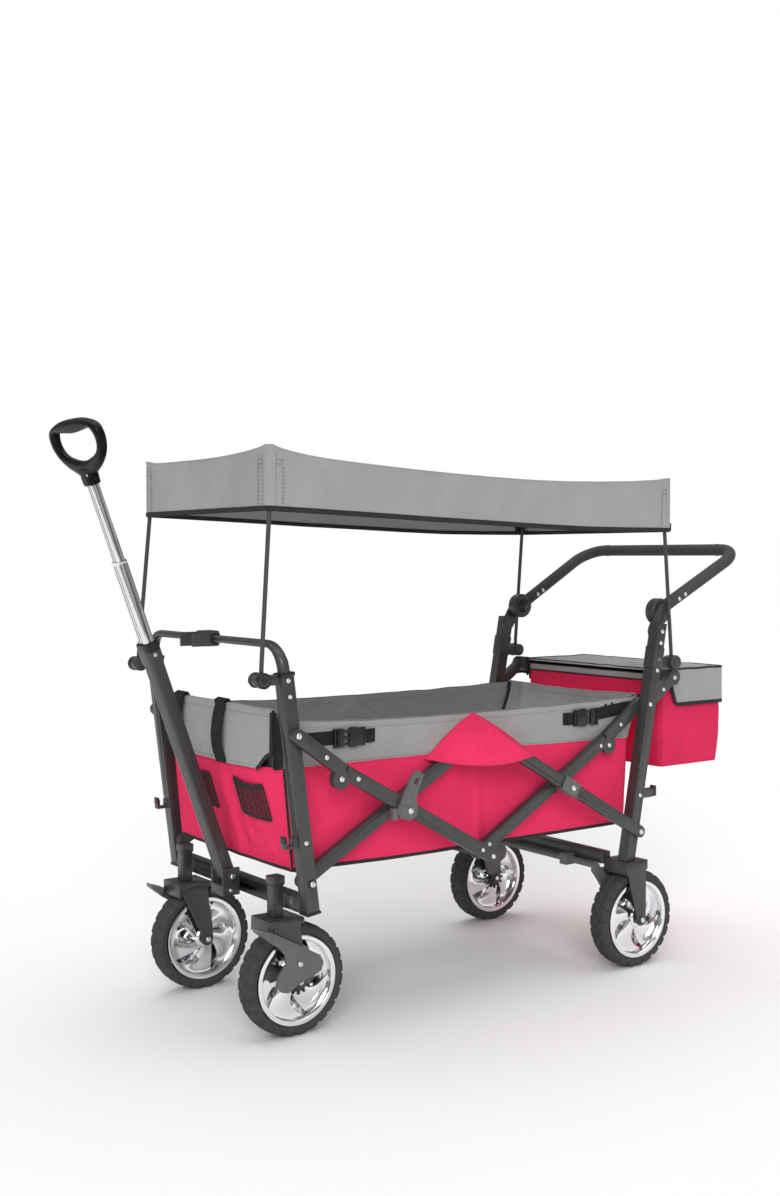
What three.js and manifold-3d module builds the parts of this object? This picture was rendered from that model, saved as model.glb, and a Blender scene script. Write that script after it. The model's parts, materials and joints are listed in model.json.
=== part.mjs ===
// Folding kids' pull wagon with canopy, push bar and rear basket.
// Millimetres, +Z up. Front (pull handle) towards -X, rear (push bar) towards +X, left side is -Y.
import * as THREE from "three";
import { mergeVertices } from "three/addons/utils/BufferGeometryUtils.js";
import ManifoldModule from "manifold-3d";

const wasm = await ManifoldModule();
wasm.setup();

// ---------------------------------------------------------------- driving dimensions
const SHIFT_X = -6.84;             // moves the working frame so the bounding box is centred on X = 0
const WHEEL_R = 101.5;         // tyre outer radius
const TYRE_W = 45;             // tyre width
const RIM_R = 81;              // rim outer radius
const AXLE_Z = WHEEL_R;
const FRONT_WHEEL = { x: -390, y: 171 };
const STEM = { x: -423, y: 171 };
const STEM_HALF = 11;          // half the width of the square caster stem
const REAR_WHEEL = { x: 411, y: 232 };
const CROWN_Z = 217;           // top of the caster crowns
// side linkage pivots (x, z)
const C = [-400, 288], F = [400, 288], D = [0, 288], T = [0, 515];
const B = [-200, 401.5], E = [200, 401.5], A = [-436, 550], G = [440, 549];
const PHI0 = Math.atan2(T[1] - C[1], T[0] - C[0]);   // arm angle above the floor when open
const KNUCKLE_ALONG = 161, KNUCKLE_OFF = 15;
const K = [B[0] - KNUCKLE_ALONG * Math.cos(PHI0) - KNUCKLE_OFF * Math.sin(PHI0),
           B[1] + KNUCKLE_ALONG * Math.sin(PHI0) - KNUCKLE_OFF * Math.cos(PHI0)];
const L = [-K[0], K[1]];
const ARM_H = 25, ARM_PIN = 5;
// layers across the wagon, distance from the middle plane
const POST_IN = 232, POST_OUT = 257;
const INNER = [217.4, 231.4], OUTER = [257.6, 271.6];
const LEVER = [272.2, 279.6];
const TUB_Y = 208, TUB_T = 3, FLOOR_Y = 200;
const POST = 25;
const frontPostX = z => -403 - (z - 288) * 0.126;
const rearPostX = z => 396 + (z - 288) * 0.19;
const HUB = [500, 741], HUB_R = 28;
const PUSH_X = 745, PUSH_Z = 873, PUSH_Y = 240, PUSH_R = 13, PUSH_BEND = 55;
const HANDLE = [-427, 262], HANDLE_LEAN = 20 * Math.PI / 180;
const HANDLE_OUTER_TOP = 459, HANDLE_MID = [250, 622], HANDLE_TOP = [452, 777], GRIP_FROM = 770;
const FLOOR_PIVOT_X = 395, FLOOR_PIVOT_REAR = 390, FLOOR_Z = [300, 308], FLOOR_LEN = 358;
const BASKET = { x0: 521, x1: 711, y: 213, z0: 402, z1: 611 };
const LID = { x0: 521, x1: 716, y: 217, z0: 535, z1: 617 };
const CANOPY = { x0: -475, x1: 526, y: 235, hem0: 937, hem1: 912, top0: 1047, top1: 1021 };

// ---------------------------------------------------------------- materials
const mats = {
  fabric_main: new THREE.MeshStandardMaterial({ color: 0xe8416b, roughness: 0.85, metalness: 0 }),
  fabric_grey: new THREE.MeshStandardMaterial({ color: 0x9b9b9b, roughness: 0.85, metalness: 0 }),
  steel_coated: new THREE.MeshStandardMaterial({ color: 0x4a4a4a, roughness: 0.5, metalness: 0.3 }),
  steel_chrome: new THREE.MeshStandardMaterial({ color: 0xd8d8dc, roughness: 0.12, metalness: 1 }),
  rubber_tyre: new THREE.MeshStandardMaterial({ color: 0x3a3a3a, roughness: 0.8, metalness: 0 }),
  plastic_black: new THREE.MeshStandardMaterial({ color: 0x1c1c1c, roughness: 0.45, metalness: 0 }),
  plastic_grey: new THREE.MeshStandardMaterial({ color: 0x6c6c6c, roughness: 0.5, metalness: 0 }),
  foam_grip: new THREE.MeshStandardMaterial({ color: 0x3c3c3c, roughness: 0.8, metalness: 0 }),
  board_fabric: new THREE.MeshStandardMaterial({ color: 0x7a7a7a, roughness: 0.9, metalness: 0 }),
};

// ---------------------------------------------------------------- helpers
function solid(geo) {
  const g0 = geo.clone();
  for (const k of Object.keys(g0.attributes)) if (k !== "position") g0.deleteAttribute(k);
  const g = mergeVertices(g0, 1e-4);
  const pos = g.attributes.position.array, idx = g.index.array;
  let vol = 0;
  const tri = [];
  for (let i = 0; i < idx.length; i += 3) {
    const [a, b, c] = [idx[i], idx[i + 1], idx[i + 2]];
    if (a === b || b === c || a === c) continue;
    tri.push(a, b, c);
    const p = k => [pos[3 * k], pos[3 * k + 1], pos[3 * k + 2]];
    const [P, Q, R] = [p(a), p(b), p(c)];
    vol += P[0] * (Q[1] * R[2] - Q[2] * R[1]) - P[1] * (Q[0] * R[2] - Q[2] * R[0]) + P[2] * (Q[0] * R[1] - Q[1] * R[0]);
  }
  if (vol < 0) for (let i = 0; i < tri.length; i += 3) [tri[i + 1], tri[i + 2]] = [tri[i + 2], tri[i + 1]];
  return new wasm.Manifold(new wasm.Mesh({ numProp: 3, vertProperties: new Float32Array(pos), triVerts: new Uint32Array(tri) }));
}
const join = (...s) => s.reduce((p, q) => p.add(q));
const cut = (s, ...t) => t.reduce((p, q) => p.subtract(q), s);
const box = (x0, x1, y0, y1, z0, z1) => {
  const g = new THREE.BoxGeometry(x1 - x0, y1 - y0, z1 - z0);
  g.translate((x0 + x1) / 2, (y0 + y1) / 2, (z0 + z1) / 2);
  return solid(g);
};
const basis = (a, b, c) => new THREE.Matrix4().makeBasis(new THREE.Vector3(...a), new THREE.Vector3(...b), new THREE.Vector3(...c));
function extr(pts, len) {
  const s = new THREE.Shape(pts.map(p => new THREE.Vector2(p[0], p[1])));
  return new THREE.ExtrudeGeometry(s, { depth: len, bevelEnabled: false, steps: 1 });
}
// profile in (x, z), from y0 to y1
function plateXZ(pts, y0, y1) {
  const g = extr(pts, y1 - y0);
  g.applyMatrix4(basis([1, 0, 0], [0, 0, 1], [0, -1, 0]));
  g.translate(0, y1, 0);
  return solid(g);
}
// profile in (y, z), from x0 to x1
function plateYZ(pts, x0, x1) {
  const g = extr(pts, x1 - x0);
  g.applyMatrix4(basis([0, 1, 0], [0, 0, 1], [1, 0, 0]));
  g.translate(x0, 0, 0);
  return solid(g);
}
const plateXY = (pts, z0, z1) => { const g = extr(pts, z1 - z0); g.translate(0, 0, z0); return solid(g); };
const arc = (cx, cy, r, a0, a1, n) => Array.from({ length: n + 1 }, (_, i) => {
  const a = (a0 + (a1 - a0) * i / n) * Math.PI / 180;
  return [cx + r * Math.cos(a), cy + r * Math.sin(a)];
});
const cylY = (x, z, r, y0, y1, n = 20) => {
  const g = new THREE.CylinderGeometry(r, r, y1 - y0, n);
  g.translate(x, (y0 + y1) / 2, z);
  const h = new THREE.CylinderGeometry(r, r, y1 - y0, n);
  h.translate(0, 0, 0); h.rotateZ(0); h.translate(x, (y0 + y1) / 2, z);
  return solid(h);
};
const cylZ = (x, y, r, z0, z1, n = 20) => {
  const g = new THREE.CylinderGeometry(r, r, z1 - z0, n);
  g.rotateX(Math.PI / 2); g.translate(x, y, (z0 + z1) / 2);
  return solid(g);
};
// bar with rounded ends in the (x, z) plane
function bar(P, Q, h, y0, y1, roundP = true, roundQ = true) {
  const a = Math.atan2(Q[1] - P[1], Q[0] - P[0]) * 180 / Math.PI, r = h / 2;
  const n = 6, c = Math.cos(a * Math.PI / 180), s = Math.sin(a * Math.PI / 180);
  const pts = [];
  if (roundQ) pts.push(...arc(Q[0], Q[1], r, a - 90, a + 90, n)); else pts.push([Q[0] + r * s, Q[1] - r * c], [Q[0] - r * s, Q[1] + r * c]);
  if (roundP) pts.push(...arc(P[0], P[1], r, a + 90, a + 270, n)); else pts.push([P[0] - r * s, P[1] + r * c], [P[0] + r * s, P[1] - r * c]);
  return plateXZ(pts, y0, y1);
}
// curve through given stations, used as the path of an extruded section
class Stations extends THREE.Curve {
  constructor(p) { super(); this.p = p.map(q => new THREE.Vector3(...q)); }
  getPoint(t, o = new THREE.Vector3()) { const n = this.p.length - 1, i = Math.min(n - 1, Math.floor(t * n)), f = t * n - i; return o.copy(this.p[i]).lerp(this.p[i + 1], f); }
  getPointAt(t, o) { return this.getPoint(t, o); }
  getSpacedPoints() { return this.p.map(q => q.clone()); }
  getTangentAt(t, o = new THREE.Vector3()) {
    const n = this.p.length - 1, i = Math.round(t * n);
    const a = this.p[Math.max(0, i - 1)], b = this.p[Math.min(n, i + 1)];
    if (i > 0 && i < n) { const u = this.p[i].clone().sub(a).normalize(), v = b.clone().sub(this.p[i]).normalize(); return o.copy(u.add(v)).normalize(); }
    return o.copy(b).sub(a).normalize();
  }
}
// corner points rounded with radius r (tangent length)
function rounded(pts, r, n = 6) {
  const V = pts.map(p => new THREE.Vector3(...p)), out = [V[0]];
  for (let i = 1; i < V.length - 1; i++) {
    const u = V[i].clone().sub(V[i - 1]).normalize(), v = V[i + 1].clone().sub(V[i]).normalize();
    const a = V[i].clone().addScaledVector(u, -r), b = V[i].clone().addScaledVector(v, r);
    for (let k = 0; k <= n; k++) {
      const t = k / n;
      out.push(a.clone().multiplyScalar((1 - t) * (1 - t)).addScaledVector(V[i], 2 * t * (1 - t)).addScaledVector(b, t * t));
    }
  }
  out.push(V[V.length - 1]);
  return out.map(p => [p.x, p.y, p.z]);
}
function sweep(points, r, n = 12) {
  const c = new Stations(points);
  const s = new THREE.Shape(Array.from({ length: n }, (_, i) => new THREE.Vector2(r * Math.cos(2 * Math.PI * i / n), r * Math.sin(2 * Math.PI * i / n))));
  return solid(new THREE.ExtrudeGeometry(s, { steps: points.length - 1, extrudePath: c, bevelEnabled: false }));
}
// ring or disc turned about an axis along Y through (x, z); profile is [radius, y]
function turnY(x, z, profile, n = 36, y = 0, flip = false) {
  const pts = profile.map(p => new THREE.Vector2(p[0], flip ? -p[1] : p[1]));
  const g = new THREE.LatheGeometry(pts, n);
  g.translate(x, y, z);
  return solid(g);
}
// turn a solid made along an upright axis at the origin so it leans forward and sits at the handle foot
const leanM = new THREE.Matrix4().makeTranslation(HANDLE[0], 0, HANDLE[1]).multiply(new THREE.Matrix4().makeRotationY(-HANDLE_LEAN));
const lean = s => s.transform(leanM.elements);
const mirrorY = s => s.mirror([0, 1, 0]);

const group = new THREE.Group();
group.name = "kids_pull_wagon";
function add(name, s, mat) {
  const m = s.getMesh();
  const g = new THREE.BufferGeometry();
  g.setAttribute("position", new THREE.BufferAttribute(new Float32Array(m.vertProperties), 3));
  g.setIndex(new THREE.BufferAttribute(new Uint32Array(m.triVerts), 1));
  g.translate(SHIFT_X, 0, 0);
  const flat = g.toNonIndexed();
  flat.computeVertexNormals();
  const mesh = new THREE.Mesh(flat, mats[mat]);
  mesh.name = name;
  group.add(mesh);
}
// builds the -Y solid from one made on the +Y side
function pair(base, s, mat) { add(base + "_r", s, mat); add(base + "_l", mirrorY(s), mat); }

// ---------------------------------------------------------------- front frame
{
  const z0 = 234, z1 = 655;
  const post = plateXZ([[frontPostX(z0) - 12.6, z0], [frontPostX(z0) + 12.6, z0], [frontPostX(z1) + 12.6, z1], [frontPostX(z1) - 12.6, z1]], POST_IN, POST_OUT);
  const dir = [-0.126, 1];
  const socket = sweep([[frontPostX(612), 244.5, 612], [frontPostX(700), 244.5, 700]], 11.4, 14);
  const clampZ = 646, cx = -492;
  const clampArm = box(cx, frontPostX(clampZ), 234, 246, clampZ - 9, clampZ + 9);
  const clamp = cut(cylY(cx, clampZ, 12.5, 216, 252, 18), cylZ(cx + 2.3, 236.2, 4.6, clampZ - 4, clampZ + 20, 12));
  const hookZ = 361;
  const hook = cut(box(-450, frontPostX(hookZ), 234, 248, hookZ - 9, hookZ + 9), box(-445, -432, 230, 252, hookZ - 4, hookZ + 20));
  const s = cut(join(post, clampArm, clamp, hook), socket,
    cylY(C[0], C[1], ARM_PIN + 0.4, 225, 262),
    cylZ(cx + 2.3, 236.2, 4.6, clampZ - 4, clampZ + 20, 12));
  pair("front_post", s, "steel_coated");

  const bx = z => frontPostX(z);
  const path = rounded([[bx(616), -244.5, 616], [bx(706), -244.5, 706], [bx(706), 244.5, 706], [bx(616), 244.5, 616]], 44, 7);
  add("front_bow", sweep(path, 11, 14), "steel_coated");

  // clip on the bow for the stowed pull handle
  const cz = 706, bowX = bx(706);
  let clip = box(bowX - 20, bowX + 16, -25.5, 25.5, cz - 16, cz + 16);
  clip = join(clip, box(-522, bowX - 10, -25.5, -20.5, cz - 14, cz + 12), box(-522, bowX - 10, 20.5, 25.5, cz - 14, cz + 12));
  clip = cut(clip, cylY(bowX, cz, 11.4, -40, 40, 18));
  add("handle_clip", clip, "plastic_black");

  // cross bar with the two caster stems
  let cross = box(-410, -386, -231.7, 231.7, 233, 261);
  for (const s of [-1, 1]) {
    cross = join(cross, box(STEM.x - STEM_HALF, STEM.x + STEM_HALF, s * STEM.y - STEM_HALF, s * STEM.y + STEM_HALF, CROWN_Z + 0.6, 284),
      box(STEM.x, STEM.x + 13.9, s * STEM.y - STEM_HALF, s * STEM.y + STEM_HALF, 235, 259),
      box(STEM.x - STEM_HALF - 2, STEM.x + STEM_HALF + 2, s * STEM.y - STEM_HALF - 2, s * STEM.y + STEM_HALF + 2, 276, 291));
  }
  for (const s of [-1, 1]) cross = cut(cross, cylZ(STEM.x, s * STEM.y, 6.6, CROWN_Z - 5, 284, 16));
  add("front_crossbar", cross, "steel_coated");

  // canopy poles
  pair("canopy_pole_front", sweep([[cx + 2.3, 236.2, 644], [cx + 3, 236, 668], [-468, 228, 932], [-466, 227, 1030]], 4, 10), "steel_coated");
  pair("canopy_pole_rear", sweep([[511, 249.7, 632], [511, 249, 660], [512, 228.3, 908], [512, 227.5, 1004]], 4, 10), "steel_coated");
}

// ---------------------------------------------------------------- pull handle
{
  const foot = HANDLE;
  let br = join(box(-446, -410.3, -23.5, -18, 226, 277), box(-446, -410.3, 18, 23.5, 226, 277), box(-446, -410.3, -23.5, 23.5, 226, 245.5));
  br = join(br, cylY(foot[0], foot[1], 5, -26, 26, 16), cylY(foot[0], foot[1], 8, -26.5, -23, 16), cylY(foot[0], foot[1], 8, 23, 26.5, 16));
  add("handle_bracket", br, "steel_coated");

  const rect = (w, t, r, n = 3) => {
    const p = [];
    for (const [sx, sy, a] of [[1, -1, -90], [1, 1, 0], [-1, 1, 90], [-1, -1, 180]]) p.push(...arc(sx * (t / 2 - r), sy * (w / 2 - r), r, a, a + 90, n));
    return p;
  };
  // section: width along Y, thickness along X; axis along Z
  let outer = cut(plateXY(rect(34, 26, 4), 0, HANDLE_OUTER_TOP), plateXY(rect(29, 21, 3), 16, HANDLE_OUTER_TOP + 5));
  outer = join(outer, cut(plateXY(rect(38, 30, 5), HANDLE_OUTER_TOP - 28, HANDLE_OUTER_TOP + 4), plateXY(rect(29, 21, 3), 0, HANDLE_OUTER_TOP + 9)));
  // rounded foot around the pivot
  outer = join(outer, cut(cylY(0, 0, 13, -17, 17, 20), box(-20, 20, -20, 20, 0.5, 30)));
  outer = cut(outer, cylY(0, 0, 5.4, -30, 30, 16));
  add("handle_tube", lean(outer), "steel_coated");
  add("handle_mid_tube", lean(cut(plateXY(rect(28, 20, 4), HANDLE_MID[0], HANDLE_MID[1]), plateXY(rect(24.2, 16.2, 3), 0, 900))), "steel_chrome");
  add("handle_top_tube", lean(cut(plateXY(rect(23.4, 15.4, 3.5), HANDLE_TOP[0], HANDLE_TOP[1]), plateXY(rect(19.8, 11.8, 2.5), 0, HANDLE_TOP[1] - 20))), "steel_chrome");
  // D grip: ring wide along Y
  const gz = GRIP_FROM;
  const out = [[-17, gz], [17, gz], [20, gz + 22], [40, gz + 34], [62, gz + 60], [70, gz + 84], [66, gz + 102], [50, gz + 116], [20, gz + 122], [-20, gz + 122], [-50, gz + 116], [-66, gz + 102], [-70, gz + 84], [-62, gz + 60], [-40, gz + 34], [-20, gz + 22]];
  const hole = [[-26, gz + 48], [26, gz + 48], [46, gz + 64], [53, gz + 82], [49, gz + 93], [38, gz + 97], [-38, gz + 97], [-49, gz + 93], [-53, gz + 82], [-46, gz + 64]];
  let grip = cut(plateYZ(out, -13, 13), plateYZ(hole, -30, 30));
  grip = cut(grip, plateXY(rect(24, 16, 3.5), gz - 5, HANDLE_TOP[1] + 0.4));
  add("grip", lean(grip), "plastic_black");
}

// ---------------------------------------------------------------- rear frame
{
  const z0 = 226.6, z1 = 716;
  let post = plateXZ([[rearPostX(z0) - 12.7, z0], [rearPostX(z0) + 12.7, z0], [rearPostX(z1) + 12.7, z1], [rearPostX(z1) - 12.7, z1]], POST_IN, POST_OUT);
  post = join(post, bar([rearPostX(700), 700], HUB, 34, POST_IN, POST_IN + 4.4));
  const cz = 634;
  const armBack = box(rearPostX(cz), 520, 238, 252, cz - 11, cz + 11);
  const knob = cylY(512, cz, 14, 236, 262, 18);
  const hook = box(rearPostX(361), 462, 236, 248, 352, 370);
  const basketArm = join(bar([455, 556], [520, 601], 22, 236, 252), cylY(520, 601, 17, INNER[0] - 0.2, 252, 20));
  const s = cut(join(post, armBack, knob, hook, basketArm),
    cylY(F[0], F[1], ARM_PIN + 0.4, 228, 262),
    cylZ(511, 249.7, 4.9, cz - 4, cz + 40, 12));
  pair("rear_post", s, "steel_coated");

  add("rear_crossbeam", join(box(360, 386, -197.6, 197.6, 213, 238)), "steel_coated");

  // fixed rear forks
  const w = REAR_WHEEL;
  const leg = (sgn) => {
    const y0 = sgn > 0 ? w.y + 27.5 : w.y - 31.5;
    return plateXZ([...arc(w.x, AXLE_Z, 13, 180, 360, 8), [w.x + 13, AXLE_Z + 20], [424, 200], [424, 212], [372, 212], [372, 198], [w.x - 13, AXLE_Z + 14]], y0, y0 + 4);
  };
  let fork = join(box(366, 426, w.y - 34, w.y + 34, 206, 226), box(366, 370.5, w.y - 34, w.y + 34, 198, 210), leg(1), leg(-1),
    cylY(w.x, AXLE_Z, 5, w.y - 33, w.y + 33, 16), cylY(w.x, AXLE_Z, 8.5, w.y + 31, w.y + 35, 12), cylY(w.x, AXLE_Z, 8.5, w.y - 34.2, w.y - 31, 12));
  pair("rear_fork", fork, "steel_coated");

  // linked rear brake: bar under the beam with a cover plate at each wheel
  const plate = [[337, 216], [345, 220], [354, 214], [359, 205], [400, 203], [420, 188], [434, 170], [430, 150], [414, 141], [405, 119], [388, 113], [376, 122], [366, 160], [348, 186], [336, 200]];
  const bx = 345, bz = 212;
  let bar1 = cylY(bx, bz, 7, -196.4, 196.4, 16);
  bar1 = join(bar1, plateXZ(plate, 190.2, 196.4), plateXZ(plate, -196.4, -190.2), box(bx - 12, bx + 12, -118, -98, bz - 12, bz + 12));
  add("rear_brake_bar", bar1, "plastic_grey");
}

// ---------------------------------------------------------------- side linkage
{
  const pin = (P, y0, y1, r = ARM_PIN) => cylY(P[0], P[1], r, y0, y1, 16);
  const hole = (P, y0, y1) => cylY(P[0], P[1], ARM_PIN + 0.4, y0 - 2, y1 + 2, 16);
  const head = (P, y) => cylY(P[0], P[1], 7, y, y + 2.4, 14);
  // arm C-T in the inner layer
  let ct = bar(C, T, ARM_H, ...INNER);
  ct = join(ct, pin(C, 230, 257.2), cylY(C[0], C[1], 7, 257.3, 259.4, 14), pin(C, 230, 258), pin(B, 230, 271.4), pin(T, 230, 271.4));
  pair("arm_front_lower", ct, "steel_coated");
  // arm K-D in the outer layer
  const kEnd = [B[0] - KNUCKLE_ALONG * Math.cos(PHI0), B[1] + KNUCKLE_ALONG * Math.sin(PHI0)];
  const kIn = [kEnd[0] + 3 * Math.cos(PHI0), kEnd[1] - 3 * Math.sin(PHI0)];
  const mid = (OUTER[0] + OUTER[1]) / 2, mid2 = (INNER[0] + INNER[1]) / 2;
  let kd = join(bar(kIn, D, ARM_H, ...OUTER, false, true), cylY(K[0], K[1], 18, OUTER[0], mid - 0.2, 24));
  kd = cut(kd, cylY(K[0], K[1], 18.6, mid - 0.2, OUTER[1] + 1, 24), hole(B, ...OUTER));
  kd = join(kd, pin(K, OUTER[0], OUTER[1]), pin(D, INNER[0], OUTER[0] + 1));
  pair("arm_front_upper", kd, "steel_coated");
  // arm T-F in the outer layer
  let tf = bar(T, F, ARM_H, ...OUTER);
  tf = cut(tf, hole(T, ...OUTER), hole(E, ...OUTER));
  tf = join(tf, pin(F, POST_IN + 2, OUTER[0] + 1));
  pair("arm_rear_upper", tf, "steel_coated");
  // arm D-L in the inner layer
  const lEnd = [-kIn[0], kIn[1]];
  let dg = join(bar(D, lEnd, ARM_H, ...INNER, true, false), cylY(L[0], L[1], 18, INNER[0], mid2 - 0.2, 24));
  dg = cut(dg, cylY(L[0], L[1], 18.6, mid2 - 0.2, INNER[1] + 1, 24), hole(D, ...INNER));
  dg = join(dg, pin(L, INNER[0], INNER[1]), pin(E, 230, 271.4));
  pair("arm_rear_lower", dg, "steel_coated");
  add("mid_cross_tube", cylY(D[0], D[1], 8, -217.1, 217.1, 16), "steel_coated");
  // links from the knuckles to the posts; the bar axis passes KNUCKLE_OFF above the knuckle pivot
  const linkAxis = (P, Q, s) => {     // P knuckle, Q post pivot; returns the bar start beside the knuckle
    const dx = Q[0] - P[0], dz = Q[1] - P[1], d = Math.hypot(dx, dz);
    const a = Math.atan2(dz, dx) + s * Math.asin(KNUCKLE_OFF / d);
    const along = Math.sqrt(d * d - KNUCKLE_OFF * KNUCKLE_OFF);
    return [Q[0] - (along - 3) * Math.cos(a), Q[1] - (along - 3) * Math.sin(a)];
  };
  const sA = linkAxis(K, A, 1), sG = linkAxis(L, G, -1);
  const pick = (P, Q, s) => s;
  let lf = join(bar(pick(K, A, sA), A, ARM_H, ...OUTER, false, true), cylY(K[0], K[1], 18, mid + 0.2, OUTER[1], 24));
  lf = cut(lf, cylY(K[0], K[1], 18.6, OUTER[0] - 1, mid + 0.2, 24), hole(K, ...OUTER));
  pair("link_front", lf, "steel_coated");
  let lr = join(bar(sG, G, ARM_H, ...INNER, false, true), cylY(L[0], L[1], 18, mid2 + 0.2, INNER[1], 24));
  lr = cut(lr, cylY(L[0], L[1], 18.6, INNER[0] - 1, mid2 + 0.2, 24), hole(L, ...INNER));
  pair("link_rear", lr, "steel_coated");
  // fold lock levers beside pivot B
  const lv = [[-232, 398], [-226, 388], [-206, 380], [-190, 386], [-186, 398], [-190, 420], [-182, 440], [-172, 462], [-186, 470], [-198, 462], [-210, 440], [-222, 418]];
  let lever = cut(plateXZ(lv, ...LEVER), plateXZ([[-196, 448], [-188, 442], [-184, 452], [-190, 458]], LEVER[0] - 1, LEVER[1] + 1));
  pair("fold_lock_lever", lever, "plastic_grey");
}

// ---------------------------------------------------------------- push bar
{
  const d = [PUSH_X - HUB[0], PUSH_Z - HUB[1]], n = Math.hypot(...d);
  const st = t => HUB.map((v, i) => v + d[i] * t / n);
  const s0 = st(12);
  const path = rounded([[s0[0], -221.3, s0[1]], [PUSH_X, -PUSH_Y, PUSH_Z], [PUSH_X, PUSH_Y, PUSH_Z], [s0[0], 221.3, s0[1]]], PUSH_BEND, 7);
  let pb = sweep(path, PUSH_R, 14);
  for (const s of [-1, 1]) {
    const [a, b] = s > 0 ? [208, 231.6] : [-231.6, -208];
    pb = join(pb, cylY(HUB[0], HUB[1], HUB_R, a, b, 28));
    pb = cut(pb, s > 0 ? cylY(HUB[0], HUB[1], 14.4, 200, 218, 24) : cylY(HUB[0], HUB[1], 14.4, -218, -200, 24));
    pb = cut(pb, s > 0 ? cylY(HUB[0], HUB[1], 22, 231.6, 250, 24) : cylY(HUB[0], HUB[1], 22, -250, -231.6, 24));
  }
  add("push_bar", pb, "foam_grip");
  pair("hub_button", join(cylY(HUB[0], HUB[1], 14, 206, 213, 24), cylY(HUB[0], HUB[1], 11, 204, 207, 24)), "plastic_black");
}

// ---------------------------------------------------------------- tub
{
  const fp = [[-410, 303], [-438, 588], [-442, 592], [-449, 588], [-457, 482], [-454, 481.5], [-446.5, 582], [-443.5, 582], [-413.5, 303]];
  add("tub_front_panel", plateXZ(fp, -204.6, 204.6), "fabric_grey");
  add("tub_rear_panel", plateXZ([[395.4, 297], [398.4, 297], [463, 564], [460, 564]], -204.6, 204.6), "fabric_grey");
  const side = [[-408, 304], [-200, 298.5], [0, 297.5], [200, 297], [394, 297], [455, 560], [250, 557], [0, 556], [-250, 558], [-434, 572]];
  pair("tub_side", plateXZ(side, TUB_Y - TUB_T, TUB_Y), "fabric_main");
  add("floor_front", box(-FLOOR_PIVOT_X - 3, -FLOOR_PIVOT_X + FLOOR_LEN, -FLOOR_Y, FLOOR_Y, ...FLOOR_Z), "board_fabric");
  add("floor_rear", box(FLOOR_PIVOT_REAR - FLOOR_LEN, FLOOR_PIVOT_REAR, -FLOOR_Y, FLOOR_Y, ...FLOOR_Z), "board_fabric");
}

// ---------------------------------------------------------------- canopy
{
  const c = CANOPY;
  const prism = (xs, ys, zt, zb) => {
    const P = [], N = xs.length, M = ys.length, id = (k, i, j) => k * N * M + i * M + j, I = [];
    for (const f of [zt, zb]) for (const x of xs) for (const y of ys) P.push(x, y, f(x, y));
    const q = (a, b, cc, d) => I.push(a, b, cc, a, cc, d);
    for (let i = 0; i < N - 1; i++) for (let j = 0; j < M - 1; j++) {
      q(id(0, i, j), id(0, i + 1, j), id(0, i + 1, j + 1), id(0, i, j + 1));
      q(id(1, i, j), id(1, i, j + 1), id(1, i + 1, j + 1), id(1, i + 1, j));
    }
    for (let i = 0; i < N - 1; i++) {
      q(id(1, i, 0), id(1, i + 1, 0), id(0, i + 1, 0), id(0, i, 0));
      q(id(1, i + 1, M - 1), id(1, i, M - 1), id(0, i, M - 1), id(0, i + 1, M - 1));
    }
    for (let j = 0; j < M - 1; j++) {
      q(id(1, 0, j + 1), id(1, 0, j), id(0, 0, j), id(0, 0, j + 1));
      q(id(1, N - 1, j), id(1, N - 1, j + 1), id(0, N - 1, j + 1), id(0, N - 1, j));
    }
    const g = new THREE.BufferGeometry();
    g.setAttribute("position", new THREE.BufferAttribute(new Float32Array(P), 3));
    g.setIndex(I);
    return solid(g);
  };
  const lin = (a, b, n) => Array.from({ length: n + 1 }, (_, i) => a + (b - a) * i / n);
  const T01 = x => (x - c.x0) / (c.x1 - c.x0);
  const top = (x, y) => {
    const t = Math.min(1, Math.max(0, T01(x))), v = Math.abs(y) / c.y;
    const u = Math.abs(2 * t - 1);
    return c.top0 + (c.top1 - c.top0) * t - 20 * (1 - Math.pow(u, 4) * Math.pow(v, 4)) - 6 * (1 - u * u) * (1 - v * v);
  };
  const hem = x => c.hem0 + (c.hem1 - c.hem0) * T01(x);
  const W = 2;
  const outer = prism(lin(c.x0, c.x1, 12), lin(-c.y, c.y, 6), top, x => hem(x));
  const inner = prism(lin(c.x0 + W, c.x1 - W, 12), lin(-c.y + W, c.y - W, 6), (x, y) => top(x, y) - W, x => hem(x) - 10);
  add("canopy", cut(outer, inner), "fabric_grey");
}

// ---------------------------------------------------------------- rear basket
{
  const b = BASKET, l = LID;
  const prof = [[b.x0, b.z0 + 20], [b.x0 + 16, b.z0], [b.x1 - 14, b.z0], [b.x1, b.z0 + 22], [b.x1, b.z1], [b.x0, b.z1]];
  const inn = [[b.x0 + 3, b.z0 + 22], [b.x0 + 18, b.z0 + 3], [b.x1 - 16, b.z0 + 3], [b.x1 - 3, b.z0 + 24], [b.x1 - 3, b.z1 + 5], [b.x0 + 3, b.z1 + 5]];
  add("basket", cut(plateXZ(prof, -b.y, b.y), plateXZ(inn, -b.y + 3, b.y - 3)), "fabric_main");
  const lidOut = [[l.x0, b.z1 + 0.5], [l.x0 + 26, b.z1 - 6], [l.x0 + 34, l.z0], [l.x1, l.z0], [l.x1, l.z1], [l.x0, l.z1]];
  const lid = cut(plateXZ(lidOut, -l.y, l.y), box(l.x0 - 5, l.x1 - 3, -l.y + 3, l.y - 3, l.z0 - 10, b.z1 + 0.5));
  add("basket_lid", lid, "fabric_grey");
}

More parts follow.
